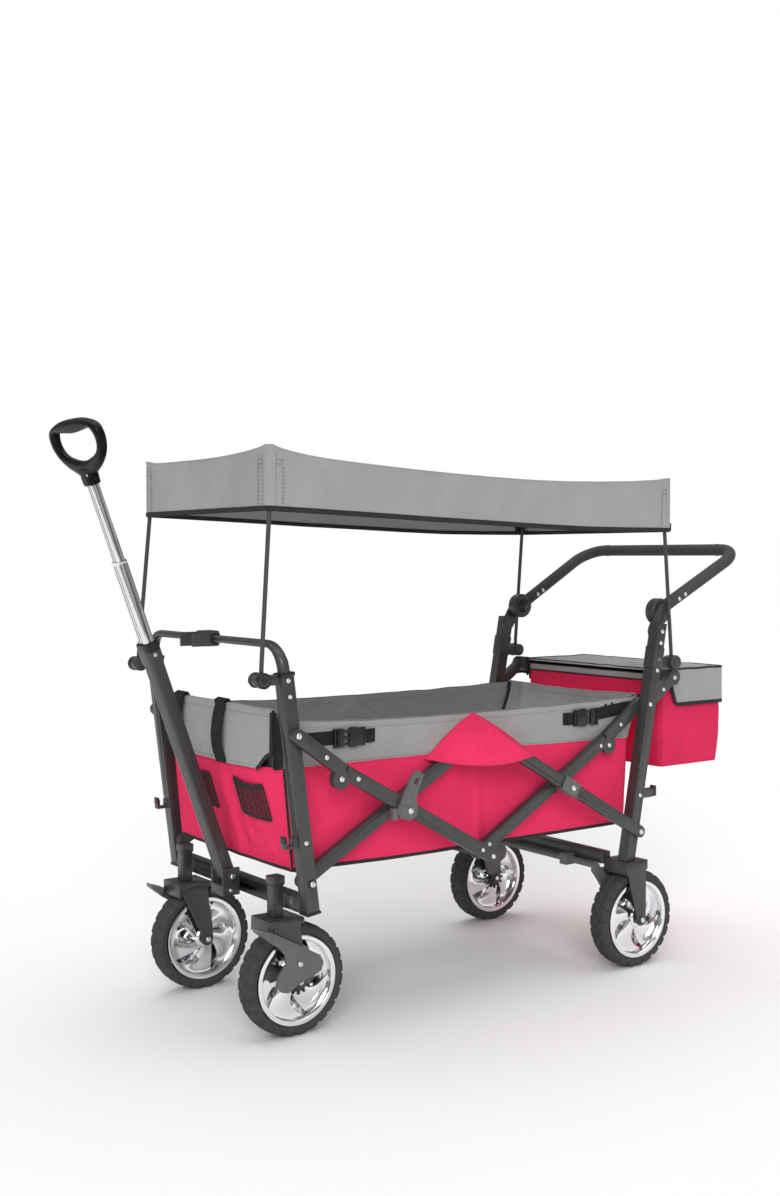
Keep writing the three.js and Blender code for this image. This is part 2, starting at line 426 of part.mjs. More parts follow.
// ---------------------------------------------------------------- casters
{
  const w = FRONT_WHEEL, s = STEM;
  const leg = (y0) => plateXZ([...arc(w.x, AXLE_Z, 13, 180, 360, 8), [w.x + 12, AXLE_Z + 22], [s.x + 34, 196], [s.x + 34, 208], [s.x - 22, 208], [s.x - 22, 198], [w.x - 13, AXLE_Z + 14]], y0, y0 + 4);
  let f = join(box(s.x - 30, s.x + 40, w.y - 34, w.y + 34, 206, CROWN_Z), box(s.x - 30, s.x - 25, w.y - 34, w.y + 34, 191, 210),
    leg(w.y + 27.5), leg(w.y - 31.5), cylZ(s.x, s.y, 6, CROWN_Z - 2, 280, 16),
    cylY(w.x, AXLE_Z, 5, w.y - 33, w.y + 33, 16), cylY(w.x, AXLE_Z, 8.5, w.y - 35, w.y - 31, 12), cylY(w.x, AXLE_Z, 8.5, w.y + 31, w.y + 34.4, 12));
  const bp = [-397, 137];
  f = cut(f, cylY(bp[0], bp[1], 4.5, w.y + 26, w.y + 33, 14));
  pair("caster_fork", f, "steel_coated");
  const lv = [[-484, 212], [-482, 204], [-458, 184], [-440, 172], [-426, 156], [-424, 143], [-438, 123], [-445, 106], [-434, 92], [-420, 89], [-398, 101], [-370, 110], [-352, 118], [-347, 132], [-354, 146], [-415, 180], [-456, 202]];
  let b = join(plateXZ(lv, w.y + 35, w.y + 41), cylY(bp[0], bp[1], 4.1, w.y + 28, w.y + 36, 14), cylY(bp[0], bp[1], 7.5, w.y + 40, w.y + 43, 14),
    plateXZ([[-484, 212], [-482, 204], [-462, 188], [-456, 202]], w.y + 22, w.y + 48));
  pair("caster_brake", b, "plastic_grey");
}

// ---------------------------------------------------------------- wheels
{
  const tyre = (x, y) => turnY(x, AXLE_Z, [[RIM_R + 0.4, -18], [95, -22.5], [101.5, -12], [101.5, 12], [95, 22.5], [RIM_R + 0.4, 18], [RIM_R + 0.4, -18]], 36, y);
  const rim = (x, y, gearSide) => {
    let r = turnY(x, AXLE_Z, [[5.4, -21], [18, -21], [20, -7], [68, -7], [74, -20], [RIM_R, -20], [RIM_R, 20], [74, 20], [68, 7], [20, 7], [18, 21], [5.4, 21], [5.4, -21]], 24, y);
    const n = 6;
    const holes = [];
    for (let i = 0; i < n; i++) {
      const a = i * 360 / n;
      const rot = (rr, aa) => [x + rr * Math.cos((a + aa) * Math.PI / 180), AXLE_Z + rr * Math.sin((a + aa) * Math.PI / 180)];
      holes.push(plateXZ([rot(30, 0), rot(48, -8), rot(66, -14), rot(66, 8), rot(50, 16), rot(30, 18)], y - 30, y + 30));
    }
    r = cut(r, ...holes);
    const teeth = [];
    for (let i = 0; i < 12; i++) {
      for (const [rr, aa] of [[19, -9], [24.5, -5], [24.5, 5], [19, 9]]) teeth.push([x + rr * Math.cos((i * 30 + aa) * Math.PI / 180), AXLE_Z + rr * Math.sin((i * 30 + aa) * Math.PI / 180)]);
    }
    const [g0, g1] = gearSide > 0 ? [y + 20, y + 26] : [y - 26, y - 20];
    r = join(r, cut(plateXZ(teeth, g0, g1), cylY(x, AXLE_Z, 5.4, y - 40, y + 40, 16)));
    return r;
  };
  for (const [nm, w, gs] of [["front", FRONT_WHEEL, 1], ["rear", REAR_WHEEL, -1]]) {
    pair("tyre_" + nm, tyre(w.x, w.y), "rubber_tyre");
    pair("rim_" + nm, rim(w.x, w.y, gs), "steel_chrome");
  }
}

export default group;
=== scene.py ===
import json
import math
import random

import bmesh
import bpy
import numpy as np
from mathutils import Matrix, Vector
from mathutils import noise as mnoise

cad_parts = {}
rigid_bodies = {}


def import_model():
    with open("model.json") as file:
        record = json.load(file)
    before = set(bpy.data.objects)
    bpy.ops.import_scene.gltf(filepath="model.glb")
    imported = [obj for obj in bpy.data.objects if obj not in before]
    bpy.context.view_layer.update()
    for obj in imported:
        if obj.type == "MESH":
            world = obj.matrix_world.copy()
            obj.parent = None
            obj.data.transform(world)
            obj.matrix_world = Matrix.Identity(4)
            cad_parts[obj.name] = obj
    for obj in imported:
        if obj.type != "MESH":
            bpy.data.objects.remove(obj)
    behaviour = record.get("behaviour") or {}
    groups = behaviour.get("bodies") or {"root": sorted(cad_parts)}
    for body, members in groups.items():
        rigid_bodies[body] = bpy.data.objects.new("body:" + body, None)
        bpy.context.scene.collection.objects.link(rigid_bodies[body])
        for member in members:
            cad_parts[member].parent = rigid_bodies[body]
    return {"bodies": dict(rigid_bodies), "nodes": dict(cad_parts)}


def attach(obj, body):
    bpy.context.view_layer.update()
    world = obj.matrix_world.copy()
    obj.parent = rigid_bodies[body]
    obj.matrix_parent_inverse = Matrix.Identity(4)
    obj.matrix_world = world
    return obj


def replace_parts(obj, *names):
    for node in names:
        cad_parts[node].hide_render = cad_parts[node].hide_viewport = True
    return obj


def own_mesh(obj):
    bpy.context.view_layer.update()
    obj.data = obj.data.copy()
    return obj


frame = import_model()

random.seed(7)
rng = np.random.default_rng(7)
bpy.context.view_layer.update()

SX = -6.84                      # shift of the working frame, mm
bodies, nodes = frame["bodies"], frame["nodes"]


def V(p):
    return ((p[0] + SX) / 1000.0, p[1] / 1000.0, p[2] / 1000.0)


# ------------------------------------------------------------------ camera, floor, light
AZ, EL = math.radians(-36.105), math.radians(1.67)
cam_data = bpy.data.cameras.new("camera")
cam_data.sensor_width = 36.0
cam_data.lens = 41.59
cam_data.clip_end = 60
cam = bpy.data.objects.new("camera", cam_data)
bpy.context.scene.collection.objects.link(cam)
back = Vector((math.sin(AZ) * math.cos(EL), -math.cos(AZ) * math.cos(EL), math.sin(EL)))
right = Vector((math.cos(AZ), math.sin(AZ), 0))
up = back.cross(right)
m = Matrix((right, up, back)).transposed().to_4x4()
m.translation = Vector((-1.69677 + SX / 1000, -2.26390, 0.85531))
cam.matrix_world = m
bpy.context.scene.camera = cam

world = bpy.data.worlds.new("world")
bpy.context.scene.world = world
world.use_nodes = True
wt = world.node_tree
bg = wt.nodes["Background"]
bg.inputs["Color"].default_value = (1.0, 1.0, 1.0, 1)
bg.inputs["Strength"].default_value = 1.0
# the studio as the object sees it: a bright ceiling, softer walls and two dark flags
studio = wt.nodes.new("ShaderNodeBackground")
coord = wt.nodes.new("ShaderNodeTexCoord")
sep = wt.nodes.new("ShaderNodeSeparateXYZ")
wt.links.new(coord.outputs["Generated"], sep.inputs[0])
height = wt.nodes.new("ShaderNodeValToRGB")
height.color_ramp.elements[0].position, height.color_ramp.elements[0].color = 0.0, (0.42, 0.42, 0.42, 1)
height.color_ramp.elements[1].position, height.color_ramp.elements[1].color = 0.75, (0.80, 0.80, 0.80, 1)
wt.links.new(sep.outputs["Z"], height.inputs["Fac"])
flag = wt.nodes.new("ShaderNodeValToRGB")
flag.color_ramp.interpolation = "EASE"
flag.color_ramp.elements[0].position, flag.color_ramp.elements[0].color = 0.56, (0.16, 0.16, 0.16, 1)
flag.color_ramp.elements[1].position, flag.color_ramp.elements[1].color = 0.68, (1, 1, 1, 1)
wave = wt.nodes.new("ShaderNodeTexWave")
wave.wave_type, wave.bands_direction = "BANDS", "X"
wave.inputs["Scale"].default_value = 0.8
wt.links.new(coord.outputs["Generated"], wave.inputs["Vector"])
wt.links.new(wave.outputs["Fac"], flag.inputs["Fac"])
mulw = wt.nodes.new("ShaderNodeMixRGB")
mulw.blend_type = "MULTIPLY"
mulw.inputs[0].default_value = 0.75
wt.links.new(height.outputs["Color"], mulw.inputs[1])
wt.links.new(flag.outputs["Color"], mulw.inputs[2])
wt.links.new(mulw.outputs[0], studio.inputs["Color"])
studio.inputs["Strength"].default_value = 0.95
lp = wt.nodes.new("ShaderNodeLightPath")
mixw = wt.nodes.new("ShaderNodeMixShader")
wt.links.new(lp.outputs["Is Camera Ray"], mixw.inputs[0])
wt.links.new(studio.outputs[0], mixw.inputs[1])
wt.links.new(bg.outputs[0], mixw.inputs[2])
wt.links.new(mixw.outputs[0], wt.nodes["World Output"].inputs["Surface"])
bpy.context.scene.view_settings.view_transform = "Standard"
bpy.context.scene.view_settings.look = "None"


def sun(name, direction, angle, strength):
    d = bpy.data.lights.new(name, "SUN")
    d.energy = strength
    d.angle = math.radians(angle)
    o = bpy.data.objects.new(name, d)
    bpy.context.scene.collection.objects.link(o)
    o.rotation_euler = Vector(direction).to_track_quat("-Z", "Y").to_euler()
    return o


sun("key", (0.58, 0.76, -0.52), 34, 1.5)
sun("top", (-0.12, -0.10, -1.0), 60, 1.25)


# ------------------------------------------------------------------ materials
def node(nt, kind, loc=(0, 0), **kw):
    n = nt.nodes.new(kind)
    n.location = loc
    for k, v in kw.items():
        setattr(n, k, v)
    return n


def ramp(nt, c0, c1, p0=0.3, p1=0.7):
    r = node(nt, "ShaderNodeValToRGB")
    r.color_ramp.elements[0].position, r.color_ramp.elements[1].position = p0, p1
    r.color_ramp.elements[0].color = (*c0, 1)
    r.color_ramp.elements[1].color = (*c1, 1)
    return r


def srgb(r, g, b):
    f = lambda c: c / 12.92 if c <= 0.04045 else ((c + 0.055) / 1.055) ** 2.4
    return tuple(f(x / 255.0) for x in (r, g, b))


def material(name, col, rough=0.5, metal=0.0, vary=0.10, vscale=18.0, rough_var=0.08, bumps=(), sheen=0.0, coat=0.0, spec=0.5):
    """bumps: list of (kind, scale, strength, distance_mm); kind is noise, weave, voronoi, wave_x/y/z"""
    mt = bpy.data.materials.new(name)
    mt.use_nodes = True
    nt = mt.node_tree
    b = nt.nodes["Principled BSDF"]
    b.inputs["Metallic"].default_value = metal
    b.inputs["Specular IOR Level"].default_value = spec
    if sheen:
        b.inputs["Sheen Weight"].default_value = sheen
        b.inputs["Sheen Roughness"].default_value = 0.5
    if coat:
        b.inputs["Coat Weight"].default_value = coat
        b.inputs["Coat Roughness"].default_value = 0.15
    tc = node(nt, "ShaderNodeTexCoord", (-1200, 0))
    nz = node(nt, "ShaderNodeTexNoise", (-900, 200))
    nz.inputs["Scale"].default_value = vscale
    nz.inputs["Detail"].default_value = 6
    nz.inputs["Roughness"].default_value = 0.6
    nt.links.new(tc.outputs["Object"], nz.inputs["Vector"])
    lo = tuple(max(0, c * (1 - vary)) for c in col)
    hi = tuple(min(1, c * (1 + vary)) for c in col)
    r = ramp(nt, lo, hi)
    nt.links.new(nz.outputs["Fac"], r.inputs["Fac"])
    nt.links.new(r.outputs["Color"], b.inputs["Base Color"])
    n2 = node(nt, "ShaderNodeTexNoise", (-900, -100))
    n2.inputs["Scale"].default_value = vscale * 3.7
    n2.inputs["Detail"].default_value = 5
    nt.links.new(tc.outputs["Object"], n2.inputs["Vector"])
    r2 = ramp(nt, (max(0.02, rough - rough_var),) * 3, (min(1, rough + rough_var),) * 3)
    nt.links.new(n2.outputs["Fac"], r2.inputs["Fac"])
    nt.links.new(r2.outputs["Color"], b.inputs["Roughness"])
    prev = None
    for kind, scale, strength, dist in bumps:
        bp = node(nt, "ShaderNodeBump")
        bp.inputs["Strength"].default_value = strength
        bp.inputs["Distance"].default_value = dist / 1000.0
        if kind == "weave":
            # two thread directions, neither square to a wall of the tub or basket
            prevw = None
            for vec in ((0.71, 0.71, 0.0), (0.24, 0.24, 0.94)):
                dp = node(nt, "ShaderNodeVectorMath", operation="DOT_PRODUCT")
                dp.inputs[1].default_value = vec
                cb_ = node(nt, "ShaderNodeCombineXYZ")
                w1 = node(nt, "ShaderNodeTexWave", bands_direction="X")
                w1.inputs["Scale"].default_value = scale
                w1.inputs["Distortion"].default_value = 0.3
                nt.links.new(tc.outputs["Object"], dp.inputs[0])
                nt.links.new(dp.outputs["Value"], cb_.inputs["X"])
                nt.links.new(cb_.outputs[0], w1.inputs["Vector"])
                if prevw:
                    mul = node(nt, "ShaderNodeMath", operation="ADD")
                    nt.links.new(prevw.outputs["Fac"], mul.inputs[0])
                    nt.links.new(w1.outputs["Fac"], mul.inputs[1])
                    nt.links.new(mul.outputs[0], bp.inputs["Height"])
                prevw = w1
        elif kind == "voronoi":
            t = node(nt, "ShaderNodeTexVoronoi")
            t.inputs["Scale"].default_value = scale
            nt.links.new(tc.outputs["Object"], t.inputs["Vector"])
            nt.links.new(t.outputs["Distance"], bp.inputs["Height"])
        elif kind.startswith("wave"):
            t = node(nt, "ShaderNodeTexWave", bands_direction=kind[-1].upper())
            t.inputs["Scale"].default_value = scale
            nt.links.new(tc.outputs["Object"], t.inputs["Vector"])
            nt.links.new(t.outputs["Fac"], bp.inputs["Height"])
        else:
            t = node(nt, "ShaderNodeTexNoise")
            t.inputs["Scale"].default_value = scale
            t.inputs["Detail"].default_value = 8
            t.inputs["Roughness"].default_value = 0.65
            nt.links.new(tc.outputs["Object"], t.inputs["Vector"])
            nt.links.new(t.outputs["Fac"], bp.inputs["Height"])
        if prev:
            nt.links.new(prev.outputs["Normal"], bp.inputs["Normal"])
        prev = bp
    if prev:
        nt.links.new(prev.outputs["Normal"], b.inputs["Normal"])
    return mt


def net_material():
    """black netting over the panel's colour, darkened by painted shade: crossed threads 2.4 mm apart"""
    mt = material("pocket_net", srgb(30, 26, 28), 0.8, vary=0.2, vscale=60, bumps=(("noise", 300, 0.3, 0.4),), spec=0.3)
    nt = mt.node_tree
    b = nt.nodes["Principled BSDF"]
    src = b.inputs["Base Color"].links[0].from_socket
    tc = next(n for n in nt.nodes if n.type == "TEX_COORD")
    prev = None
    for ax in ("Y", "Z"):
        w = node(nt, "ShaderNodeTexWave", bands_direction=ax)
        w.inputs["Scale"].default_value = 130
        nt.links.new(tc.outputs["Object"], w.inputs["Vector"])
        g = node(nt, "ShaderNodeMath", operation="GREATER_THAN")
        g.inputs[1].default_value = 0.60
        nt.links.new(w.outputs["Fac"], g.inputs[0])
        if prev:
            m_ = node(nt, "ShaderNodeMath", operation="MAXIMUM")
            nt.links.new(prev.outputs[0], m_.inputs[0])
            nt.links.new(g.outputs[0], m_.inputs[1])
            prev = m_
        else:
            prev = g
    mix = node(nt, "ShaderNodeMixRGB")
    # between the threads the panel's pink shows, darkened: painted shade of the net and pocket over it
    mix.inputs[1].default_value = (*srgb(168, 34, 72), 1)
    nt.links.new(prev.outputs[0], mix.inputs[0])
    nt.links.new(src, mix.inputs[2])
    nt.links.new(mix.outputs[0], b.inputs["Base Color"])
    return mt


FAB = (("weave", 380, 0.25, 0.25), ("noise", 26, 0.35, 3.0), ("noise", 90, 0.2, 0.8))
M = {
    "pink": material("fabric_main", srgb(236, 56, 100), 0.9, vary=0.07, vscale=9, bumps=FAB, spec=0.08),
    # a darker copy of the main pink for the basket: painted shade of its less lit walls
    "pink_basket_shaded": material("fabric_pink_painted_shade", srgb(218, 50, 92), 0.9, vary=0.08, vscale=9, bumps=FAB, spec=0.08),
    "grip": material("plastic_grip", srgb(13, 13, 15), 0.36, vary=0.12, vscale=45, spec=0.13),
    "grey": material("fabric_grey", srgb(158, 158, 158), 0.85, vary=0.07, vscale=9, bumps=FAB, sheen=0.1, spec=0.25),
    "grey_dark": material("fabric_lining", srgb(150, 150, 150), 0.88, vary=0.07, vscale=9, bumps=FAB, spec=0.2),
    "board": material("board_fabric", srgb(112, 112, 114), 0.9, vary=0.08, vscale=12, bumps=FAB, spec=0.2),
    "web": material("webbing_black", srgb(34, 34, 35), 0.8, vary=0.25, vscale=60, bumps=(("weave", 900, 0.5, 0.3),), spec=0.3),
    "binding": material("binding_black", srgb(46, 46, 47), 0.85, vary=0.2, vscale=50, bumps=(("weave", 700, 0.4, 0.25),), spec=0.3),
    "steel": material("steel_coated", srgb(72, 72, 73), 0.36, metal=0.35, vary=0.07, vscale=40, bumps=(("noise", 420, 0.12, 0.15),), spec=0.5),
    "chrome": material("steel_chrome", (0.86, 0.86, 0.88), 0.13, metal=1.0, vary=0.03, vscale=30, rough_var=0.03),
    "chrome_tube": material("steel_chrome_tube", (0.80, 0.80, 0.82), 0.12, metal=1.0, vary=0.04, vscale=30, rough_var=0.04, bumps=(("noise", 300, 0.05, 0.05),)),
    "zinc": material("zinc_rivet", (0.78, 0.78, 0.79), 0.28, metal=1.0, vary=0.06, vscale=200, rough_var=0.08),
    "tyre": material("rubber_tyre", srgb(62, 62, 63), 0.78, vary=0.12, vscale=35, bumps=(("noise", 260, 0.25, 0.3),), spec=0.35),
    "black": material("plastic_black", srgb(26, 26, 27), 0.38, vary=0.15, vscale=45, bumps=(("noise", 500, 0.12, 0.12),), spec=0.5),
    "pgrey": material("plastic_grey", srgb(98, 98, 98), 0.45, vary=0.06, vscale=45, bumps=(("noise", 520, 0.15, 0.15),), spec=0.45),
    "foam": material("foam_grip", srgb(66, 66, 66), 0.75, vary=0.1, vscale=60, bumps=(("noise", 380, 0.3, 0.3), ("voronoi", 900, 0.15, 0.15)), spec=0.3),
    "pgrey_dark": material("plastic_hub", srgb(64, 64, 65), 0.42, vary=0.07, vscale=45, bumps=(("noise", 520, 0.15, 0.15),), spec=0.45),
    "net": net_material(),
    "thread": material("stitch_thread", srgb(120, 120, 122), 0.8, vary=0.1, vscale=80),
    "thread_pink": material("stitch_thread_pink", srgb(205, 48, 88), 0.8, vary=0.1, vscale=80),
}


def floor_material():
    mt = bpy.data.materials.new("floor")
    mt.use_nodes = True
    b = mt.node_tree.nodes["Principled BSDF"]
    b.inputs["Base Color"].default_value = (0.965, 0.965, 0.965, 1)
    b.inputs["Roughness"].default_value = 0.9
    b.inputs["Specular IOR Level"].default_value = 0.1
    return mt


bpy.ops.mesh.primitive_plane_add(size=60, location=(0, 0, 0))
floor = bpy.context.object
floor.name = "floor"
floor.data.materials.append(floor_material())


# ------------------------------------------------------------------ mesh helpers (millimetres)
def mk(name, verts, faces, mats, body=None, slot=None, mids=None, smooth=True, angle=40):
    me = bpy.data.meshes.new(name)
    me.from_pydata([V(v) for v in verts], [], [tuple(int(i) for i in f) for f in faces])
    me.validate()
    for mm in (mats if isinstance(mats, (list, tuple)) else [mats]):
        me.materials.append(M[mm])
    if mids is not None:
        me.polygons.foreach_set("material_index", list(mids))
    o = bpy.data.objects.new(name, me)
    bpy.context.scene.collection.objects.link(o)
    bm = bmesh.new()
    bm.from_mesh(me)
    bmesh.ops.remove_doubles(bm, verts=bm.verts, dist=2e-5)
    bmesh.ops.recalc_face_normals(bm, faces=bm.faces)
    bm.to_mesh(me)
    bm.free()
    if smooth:
        me.polygons.foreach_set("use_smooth", [True] * len(me.polygons))
        me.set_sharp_from_angle(angle=math.radians(angle))
    if body:
        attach(o, body)
    return o


def grid(nu, nv, f, wrap=False):
    """f(u, v) with u, v in 0..1 gives a point; returns verts, faces"""
    vs = [f(i / nu, j / nv) for i in range(nu + 1) for j in range(nv + 1)]
    fs = [(i * (nv + 1) + j, (i + 1) * (nv + 1) + j, (i + 1) * (nv + 1) + j + 1, i * (nv + 1) + j + 1) for i in range(nu) for j in range(nv)]
    return vs, fs


class Mesh:
    """collects several pieces of geometry in one object"""

    def __init__(self):
        self.v, self.f, self.m = [], [], []

    def add(self, vf, mid=0):
        v, f = vf
        n = len(self.v)
        self.v += [tuple(map(float, p)) for p in v]
        self.f += [tuple(i + n for i in q) for q in f]
        self.m += [mid] * len(f)
        return self

    def make(self, name, mats, body=None, slot=None, **kw):
        return mk(name, self.v, self.f, mats, body, slot, mids=None if not any(self.m) else self.m, **kw)


def solidify(o, t, offset=0.0, bevel=0):
    s = o.modifiers.new("thick", "SOLIDIFY")
    s.thickness = t / 1000.0
    s.offset = offset
    s.use_even_offset = False
    return o


def frames(pts, upv=(0, 0, 1)):
    P = np.array(pts, float)
    T = np.gradient(P, axis=0)
    T /= np.linalg.norm(T, axis=1)[:, None] + 1e-12
    N = np.zeros_like(T)
    n = np.array(upv, float)
    n = n - T[0] * np.dot(n, T[0])
    if np.linalg.norm(n) < 1e-3:
        n = np.array([1.0, 0, 0]) - T[0] * T[0][0]
    N[0] = n / np.linalg.norm(n)
    for i in range(1, len(P)):
        n = N[i - 1] - T[i] * np.dot(N[i - 1], T[i])
        N[i] = n / (np.linalg.norm(n) + 1e-12)
    return P, T, N, np.cross(T, N)


def tube(pts, r, n=12, closed=False, caps=True):
    P, T, N, Bn = frames(pts)
    R = np.full(len(P), r, float) if np.isscalar(r) else np.array(r, float)
    vs, fs = [], []
    for i in range(len(P)):
        for k in range(n):
            a = 2 * math.pi * k / n
            vs.append(P[i] + R[i] * (math.cos(a) * N[i] + math.sin(a) * Bn[i]))
    m = len(P)
    for i in range(m if closed else m - 1):
        for k in range(n):
            a, b = i * n + k, i * n + (k + 1) % n
            c, d = ((i + 1) % m) * n + (k + 1) % n, ((i + 1) % m) * n + k
            fs.append((a, b, c, d))
    if caps and not closed:
        fs.append(tuple(range(n - 1, -1, -1)))
        fs.append(tuple((m - 1) * n + k for k in range(n)))
    return vs, fs


def ribbon(pts, wdir, w, t, closed=False, round_=0.35):
    """flat band along pts; wdir is the direction of its width (vector, or one for each point)"""
    P = np.array(pts, float)
    T = np.gradient(P, axis=0)
    T /= np.linalg.norm(T, axis=1)[:, None] + 1e-12
    Wd = np.array(wdir, float)
    if Wd.ndim == 1:
        Wd = np.tile(Wd, (len(P), 1))
    Wd = Wd - T * np.sum(Wd * T, axis=1)[:, None]
    Wd /= np.linalg.norm(Wd, axis=1)[:, None] + 1e-12
    N = np.cross(T, Wd)
    a, b, e = w / 2, t / 2, min(t * round_, w / 4)
    sec = [(-a, -b + e), (-a + e, -b), (a - e, -b), (a, -b + e), (a, b - e), (a - e, b), (-a + e, b), (-a, b - e)]
    vs, fs, n = [], [], len(sec)
    for i in range(len(P)):
        for (u, v) in sec:
            vs.append(P[i] + Wd[i] * u + N[i] * v)
    m = len(P)
    for i in range(m if closed else m - 1):
        for k in range(n):
            fs.append((i * n + k, i * n + (k + 1) % n, ((i + 1) % m) * n + (k + 1) % n, ((i + 1) % m) * n + k))
    if not closed:
        fs.append(tuple(range(n - 1, -1, -1)))
        fs.append(tuple((m - 1) * n + k for k in range(n)))
    return vs, fs


def turned(profile, n, centre, axis="y", a0=0, a1=360, flip=1):
    """profile of (radius, along); turned about an axis through centre"""
    vs, fs = [], []
    full = abs(a1 - a0) >= 360
    m = n if full else n + 1
    for i in range(m):
        a = math.radians(a0 + (a1 - a0) * i / n)
        for r, t in profile:
            t = t * flip
            if axis == "y":
                vs.append((centre[0] + r * math.cos(a), centre[1] + t, centre[2] + r * math.sin(a)))
            elif axis == "z":
                vs.append((centre[0] + r * math.cos(a), centre[1] + r * math.sin(a), centre[2] + t))
            else:
                vs.append((centre[0] + t, centre[1] + r * math.cos(a), centre[2] + r * math.sin(a)))
    k = len(profile)
    for i in range(n):
        for j in range(k - 1):
            i2 = (i + 1) % m
            q = (i * k + j, i * k + j + 1, i2 * k + j + 1, i2 * k + j)
            fs.append(q)
    return vs, [f for f in fs]


def slab(c, size, rot=None, bev=0.18):
    """box with chamfered edges, centre c, size (x, y, z); rot is a 3x3"""
    sx, sy, sz = (s / 2 for s in size)
    b = min(size) * bev
    bm = bmesh.new()
    bmesh.ops.create_cube(bm, size=1)
    for v in bm.verts:
        v.co = Vector((v.co.x * 2 * sx, v.co.y * 2 * sy, v.co.z * 2 * sz))
    if b > 0.05:
        bmesh.ops.bevel(bm, geom=bm.edges[:], offset=b, segments=2, affect="EDGES", profile=0.6)
    R = np.eye(3) if rot is None else np.array(rot, float)
    vs = [tuple(np.array(c, float) + R @ np.array(v.co)) for v in bm.verts]
    fs = [tuple(v.index for v in f.verts) for f in bm.faces]
    bm.free()
    return vs, fs


def plate(poly, y0, y1, bev=1.0):
    """outline in (x, z) between y0 and y1, with a small chamfer"""
    bm = bmesh.new()
    vs = [bm.verts.new((p[0], y0, p[1])) for p in poly]
    f = bm.faces.new(vs)
    ext = bmesh.ops.extrude_face_region(bm, geom=[f])
    for e in ext["geom"]:
        if isinstance(e, bmesh.types.BMVert):
            e.co.y = y1
    bmesh.ops.recalc_face_normals(bm, faces=bm.faces)
    if bev:
        edges = [e for e in bm.edges if abs(e.verts[0].co.y - e.verts[1].co.y) < 1e-6]
        bmesh.ops.bevel(bm, geom=edges, offset=bev, segments=2, affect="EDGES", profile=0.7)
    out = [tuple(v.co) for v in bm.verts], [tuple(v.index for v in g.verts) for g in bm.faces]
    bm.verts.index_update()
    out = [tuple(v.co) for v in bm.verts], [tuple(v.index for v in g.verts) for g in bm.faces]
    bm.free()
    return out


def rivet(p, nrm, r=4.2, h=2.0):
    n = Vector(nrm).normalized()
    q = n.to_track_quat("Z", "Y").to_matrix()
    prof = [(r, 0), (r * 0.97, h * 0.45), (r * 0.8, h * 0.8), (r * 0.45, h), (r * 0.38, h * 0.75), (0.01, h * 0.7)]
    vs, fs = [], []
    N = 14
    for i in range(N):
        a = 2 * math.pi * i / N
        for rr, t in prof:
            v = q @ Vector((rr * math.cos(a), rr * math.sin(a), t))
            vs.append((p[0] + v.x, p[1] + v.y, p[2] + v.z))
    k = len(prof)
    for i in range(N):
        for j in range(k - 1):
            fs.append((i * k + j, i * k + j + 1, ((i + 1) % N) * k + j + 1, ((i + 1) % N) * k + j))
    return vs, fs


# ------------------------------------------------------------------ shared numbers (mm, working frame)
C, F, D, T = (-400, 288), (400, 288), (0, 288), (0, 515)
Bp, E, A, G = (-200, 401.5), (200, 401.5), (-436, 550), (440, 549)
PHI = math.atan2(227, 400)
K = (Bp[0] - 161 * math.cos(PHI) - 15 * math.sin(PHI), Bp[1] + 161 * math.sin(PHI) - 15 * math.cos(PHI))
L = (-K[0], K[1])
fpx = lambda z: -403 - (z - 288) * 0.126
rpx = lambda z: 396 + (z - 288) * 0.19
HUB = (500, 741)
SIDES = (("l", -1), ("r", 1))

# ------------------------------------------------------------------ CAD nodes that stay: finish and edges
FINISH = {}
for n in nodes:
    if n.startswith(("front_post", "rear_post", "front_bow", "front_crossbar", "handle_bracket", "handle_tube", "arm_", "link_", "mid_cross", "rear_crossbeam", "rear_fork", "caster_fork", "canopy_pole")):
        FINISH[n] = "steel"
    elif n.startswith(("handle_mid", "handle_top")):
        FINISH[n] = "chrome_tube"
    elif n.startswith(("hub_button", "handle_clip")):
        FINISH[n] = "black"
    elif n.startswith(("caster_brake", "rear_brake", "fold_lock")):
        FINISH[n] = "pgrey"
for n, f in FINISH.items():
    o = nodes[n]
    o.data.materials.clear()
    o.data.materials.append(M[f])
    if not n.startswith(("front_bow", "canopy_pole", "mid_cross")):
        w = o.modifiers.new("weld", "WELD")
        w.merge_threshold = 2e-5
        b = o.modifiers.new("edge", "BEVEL")
        b.limit_method = "ANGLE"
        b.angle_limit = math.radians(32)
        b.width = 0.0022 if n.startswith(("front_post", "rear_post", "front_crossbar", "rear_crossbeam", "arm_", "link_")) else 0.0012
        b.segments = 2
        b.harden_normals = False
    else:
        w = o.modifiers.new("weld", "WELD")
        w.merge_threshold = 2e-5
    o.data.polygons.foreach_set("use_smooth", [True] * len(o.data.polygons))

# ------------------------------------------------------------------ wheels
WHEELS = [("front", -390, 171, 1), ("rear", 411, 232, -1)]


